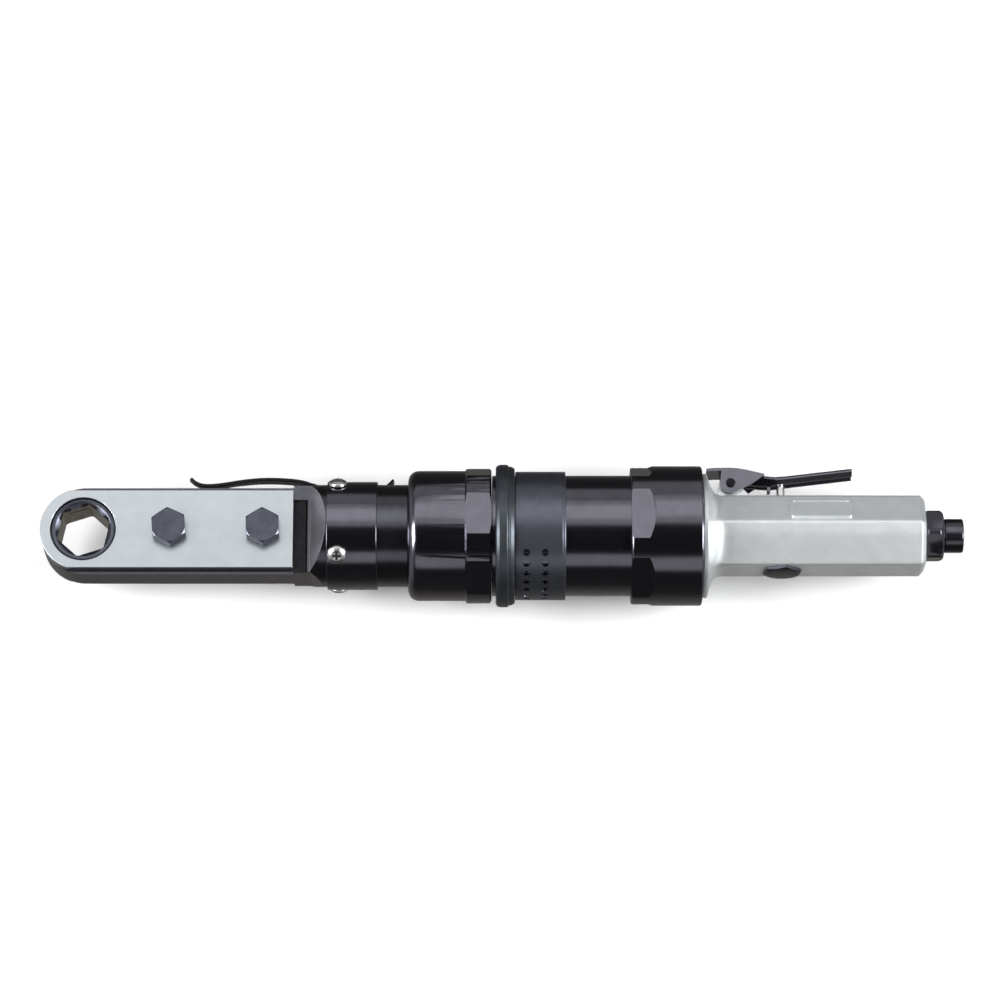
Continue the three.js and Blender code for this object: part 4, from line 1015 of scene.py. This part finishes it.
def inlet_bushing():
    low, high = span("inlet_bushing")
    start = GRIP_END + 0.2
    shoulder = start + 7.3
    flats = 19.0
    corner = flats / math.sqrt(3) * 0.965
    piece = prism("inlet_bushing_look", hexagon(flats, 38), start, shoulder, along_x)
    turned = rounded([(start, 0), (start, flats / 2, 0.3), (start + 0.9, corner, 0.8),
                      (shoulder - 1.5, corner, 1.0), (shoulder, flats / 2 - 0.4, 0.4), (shoulder, 0)],
                     0, closed=False)
    keep(piece, lathe("corners", turned))
    stub = rounded([(shoulder - 0.5, 0), (shoulder - 0.5, 6.3), (shoulder + 0.5, 6.3),
                    (shoulder + 0.8, 6.8, 0.2), (high.x, 6.8, 0.7), (high.x, 0)], 0, closed=False)
    add(piece, lathe("stub", stub))
    thread = [(low.x, 0), (low.x, 6.9)]
    for i in range(11):
        thread += [(low.x + 0.4 + i * 1.0, 7.4), (low.x + 0.9 + i * 1.0, 6.9)]
    thread += [(start + 0.5, 6.9), (start + 0.5, 0)]
    add(piece, lathe("thread", thread))
    bore = [(low.x - 1, 0), (low.x - 1, 4.4)]
    pitch = 0.94
    x = high.x - 10.5
    while x < high.x - 0.8:
        bore += [(x, 4.5), (x + pitch / 2, 5.1)]
        x += pitch
    bore += [(high.x - 0.5, 4.9), (high.x + 0.3, 5.6), (high.x + 0.3, 0)]
    cut(piece, lathe("bore", bore))
    return fit(soften(piece, 0.12, 40, 2), "inlet_bushing", MATERIALS["black_anodised"])


inlet_bushing()


# ---------------------------------------------------------------- stage, light and camera

def floor():
    mesh = bpy.data.meshes.new("floor")
    half = 6.0
    corners = [(u, v, 0) for u, v in rectangle(-half, half, -half, half)]
    mesh.from_pydata(corners, [], [(0, 1, 2, 3)])
    plane = bpy.data.objects.new("floor", mesh)
    bpy.context.scene.collection.objects.link(plane)
    material, nodes, links, surface = shader("floor", (0.93, 0.93, 0.93), 0.85, 0.0, specular=0.1)
    tint(nodes, links, noise(nodes, links, 4.0), (0.925, 0.925, 0.925), (0.935, 0.935, 0.935), surface)
    mesh.materials.append(material)
    plane.visible_glossy = False


def area_light(name, towards, distance, size, power, color=(1, 1, 1), centre=(0, 0, 0.03)):
    """A soft box at distance along towards from centre, facing it. size is (up and down, along the tool)."""
    data = bpy.data.lights.new(name, "AREA")
    data.shape = "RECTANGLE"
    data.size, data.size_y = size
    data.energy = power
    data.color = color
    lamp = bpy.data.objects.new(name, data)
    bpy.context.scene.collection.objects.link(lamp)
    way = Vector(towards).normalized()
    lamp.location = Vector(centre) + way * distance
    lamp.rotation_euler = way.to_track_quat("Z", "X").to_euler()
    return lamp


floor()
area_light("overhead_low", (0.0, 0.94, 0.34), 1.35, (0.62, 1.9), 1.3)
area_light("overhead_wide", (0.0, 0.485, 0.875), 1.3, (1.25, 1.9), 4.2)
area_light("overhead_core", (0.0, 0.485, 0.875), 1.25, (0.62, 1.8), 1.6)
area_light("front", (0.0, -0.899, 0.438), 1.5, (0.62, 1.7), 1.75)
for side in (-1, 1):
    area_light("side", (0.75 * side, -0.15, 0.6), 1.6, (0.8, 0.8), 27)


# Sockets of the Mix node's colour mode.
MIX_FACTOR, MIX_A, MIX_B, MIX_RESULT = 0, 6, 7, 2


def studio_world(tones, ends, backdrop):
    """A pale backdrop that reflects as a dark room with lit ends.

    tones are (height, tone) stops of the room, height -1 straight down and 1 straight up.
    """
    world = bpy.data.worlds.new("studio")
    world.use_nodes = True
    nodes, links = world.node_tree.nodes, world.node_tree.links
    place = nodes.new("ShaderNodeTexCoord")
    split = nodes.new("ShaderNodeSeparateXYZ")
    ramp = nodes.new("ShaderNodeValToRGB")
    while len(ramp.color_ramp.elements) < len(tones):
        ramp.color_ramp.elements.new(0.5)
    for stop, (height, tone) in zip(ramp.color_ramp.elements, tones):
        stop.position = (height + 1) / 2
        stop.color = (*tone, 1)
    shift = nodes.new("ShaderNodeMath")
    shift.operation = "MULTIPLY_ADD"
    shift.inputs[1].default_value = 0.5
    shift.inputs[2].default_value = 0.5
    size = nodes.new("ShaderNodeMath")
    size.operation = "ABSOLUTE"
    room = nodes.new("ShaderNodeMix")
    room.data_type = "RGBA"
    room.inputs[MIX_B].default_value = (*ends, 1)
    links.new(place.outputs["Generated"], split.inputs["Vector"])
    links.new(split.outputs["Z"], shift.inputs[0])
    links.new(shift.outputs["Value"], ramp.inputs["Fac"])
    links.new(split.outputs["X"], size.inputs[0])
    links.new(spread(nodes, links, size.outputs["Value"], 0, 1, 0.5, 0.85), room.inputs[MIX_FACTOR])
    links.new(ramp.outputs["Color"], room.inputs[MIX_A])
    path = nodes.new("ShaderNodeLightPath")
    shown = nodes.new("ShaderNodeMix")
    shown.data_type = "RGBA"
    shown.inputs[MIX_B].default_value = (*backdrop, 1)
    links.new(path.outputs["Is Camera Ray"], shown.inputs[MIX_FACTOR])
    links.new(room.outputs[MIX_RESULT], shown.inputs[MIX_A])
    links.new(shown.outputs[MIX_RESULT], nodes["Background"].inputs["Color"])
    bpy.context.scene.world = world


studio_world([(-1.0, (0.24, 0.225, 0.205)), (-0.85, (0.16, 0.15, 0.14)), (-0.6, (0.05, 0.05, 0.047)),
              (0.0, (0.03, 0.03, 0.03)), (0.2, (0.008, 0.010, 0.012))],
             (0.36, 0.36, 0.38), (0.80, 0.80, 0.81))
bpy.context.scene.view_settings.view_transform = "Standard"

CAMERA_ELEVATION = 72.0
CAMERA_DISTANCE = 1.8
SENSOR = 36.0
FRAME_MM = 400.0
data = bpy.data.cameras.new("camera")
data.sensor_width = SENSOR
data.lens = SENSOR * CAMERA_DISTANCE / (FRAME_MM * MM)
camera = bpy.data.objects.new("camera", data)
bpy.context.scene.collection.objects.link(camera)
elevation = math.radians(CAMERA_ELEVATION)
back = Vector((0, -math.cos(elevation), math.sin(elevation)))
up = Vector((0, math.sin(elevation), math.cos(elevation)))
target = ORIGIN + Vector((166.0, 0, 0)) * MM + up * 14.4 * MM
camera.location = target + back * CAMERA_DISTANCE
camera.rotation_euler = back.to_track_quat("Z", "Y").to_euler()
data.clip_start = 0.05
bpy.context.scene.camera = camera
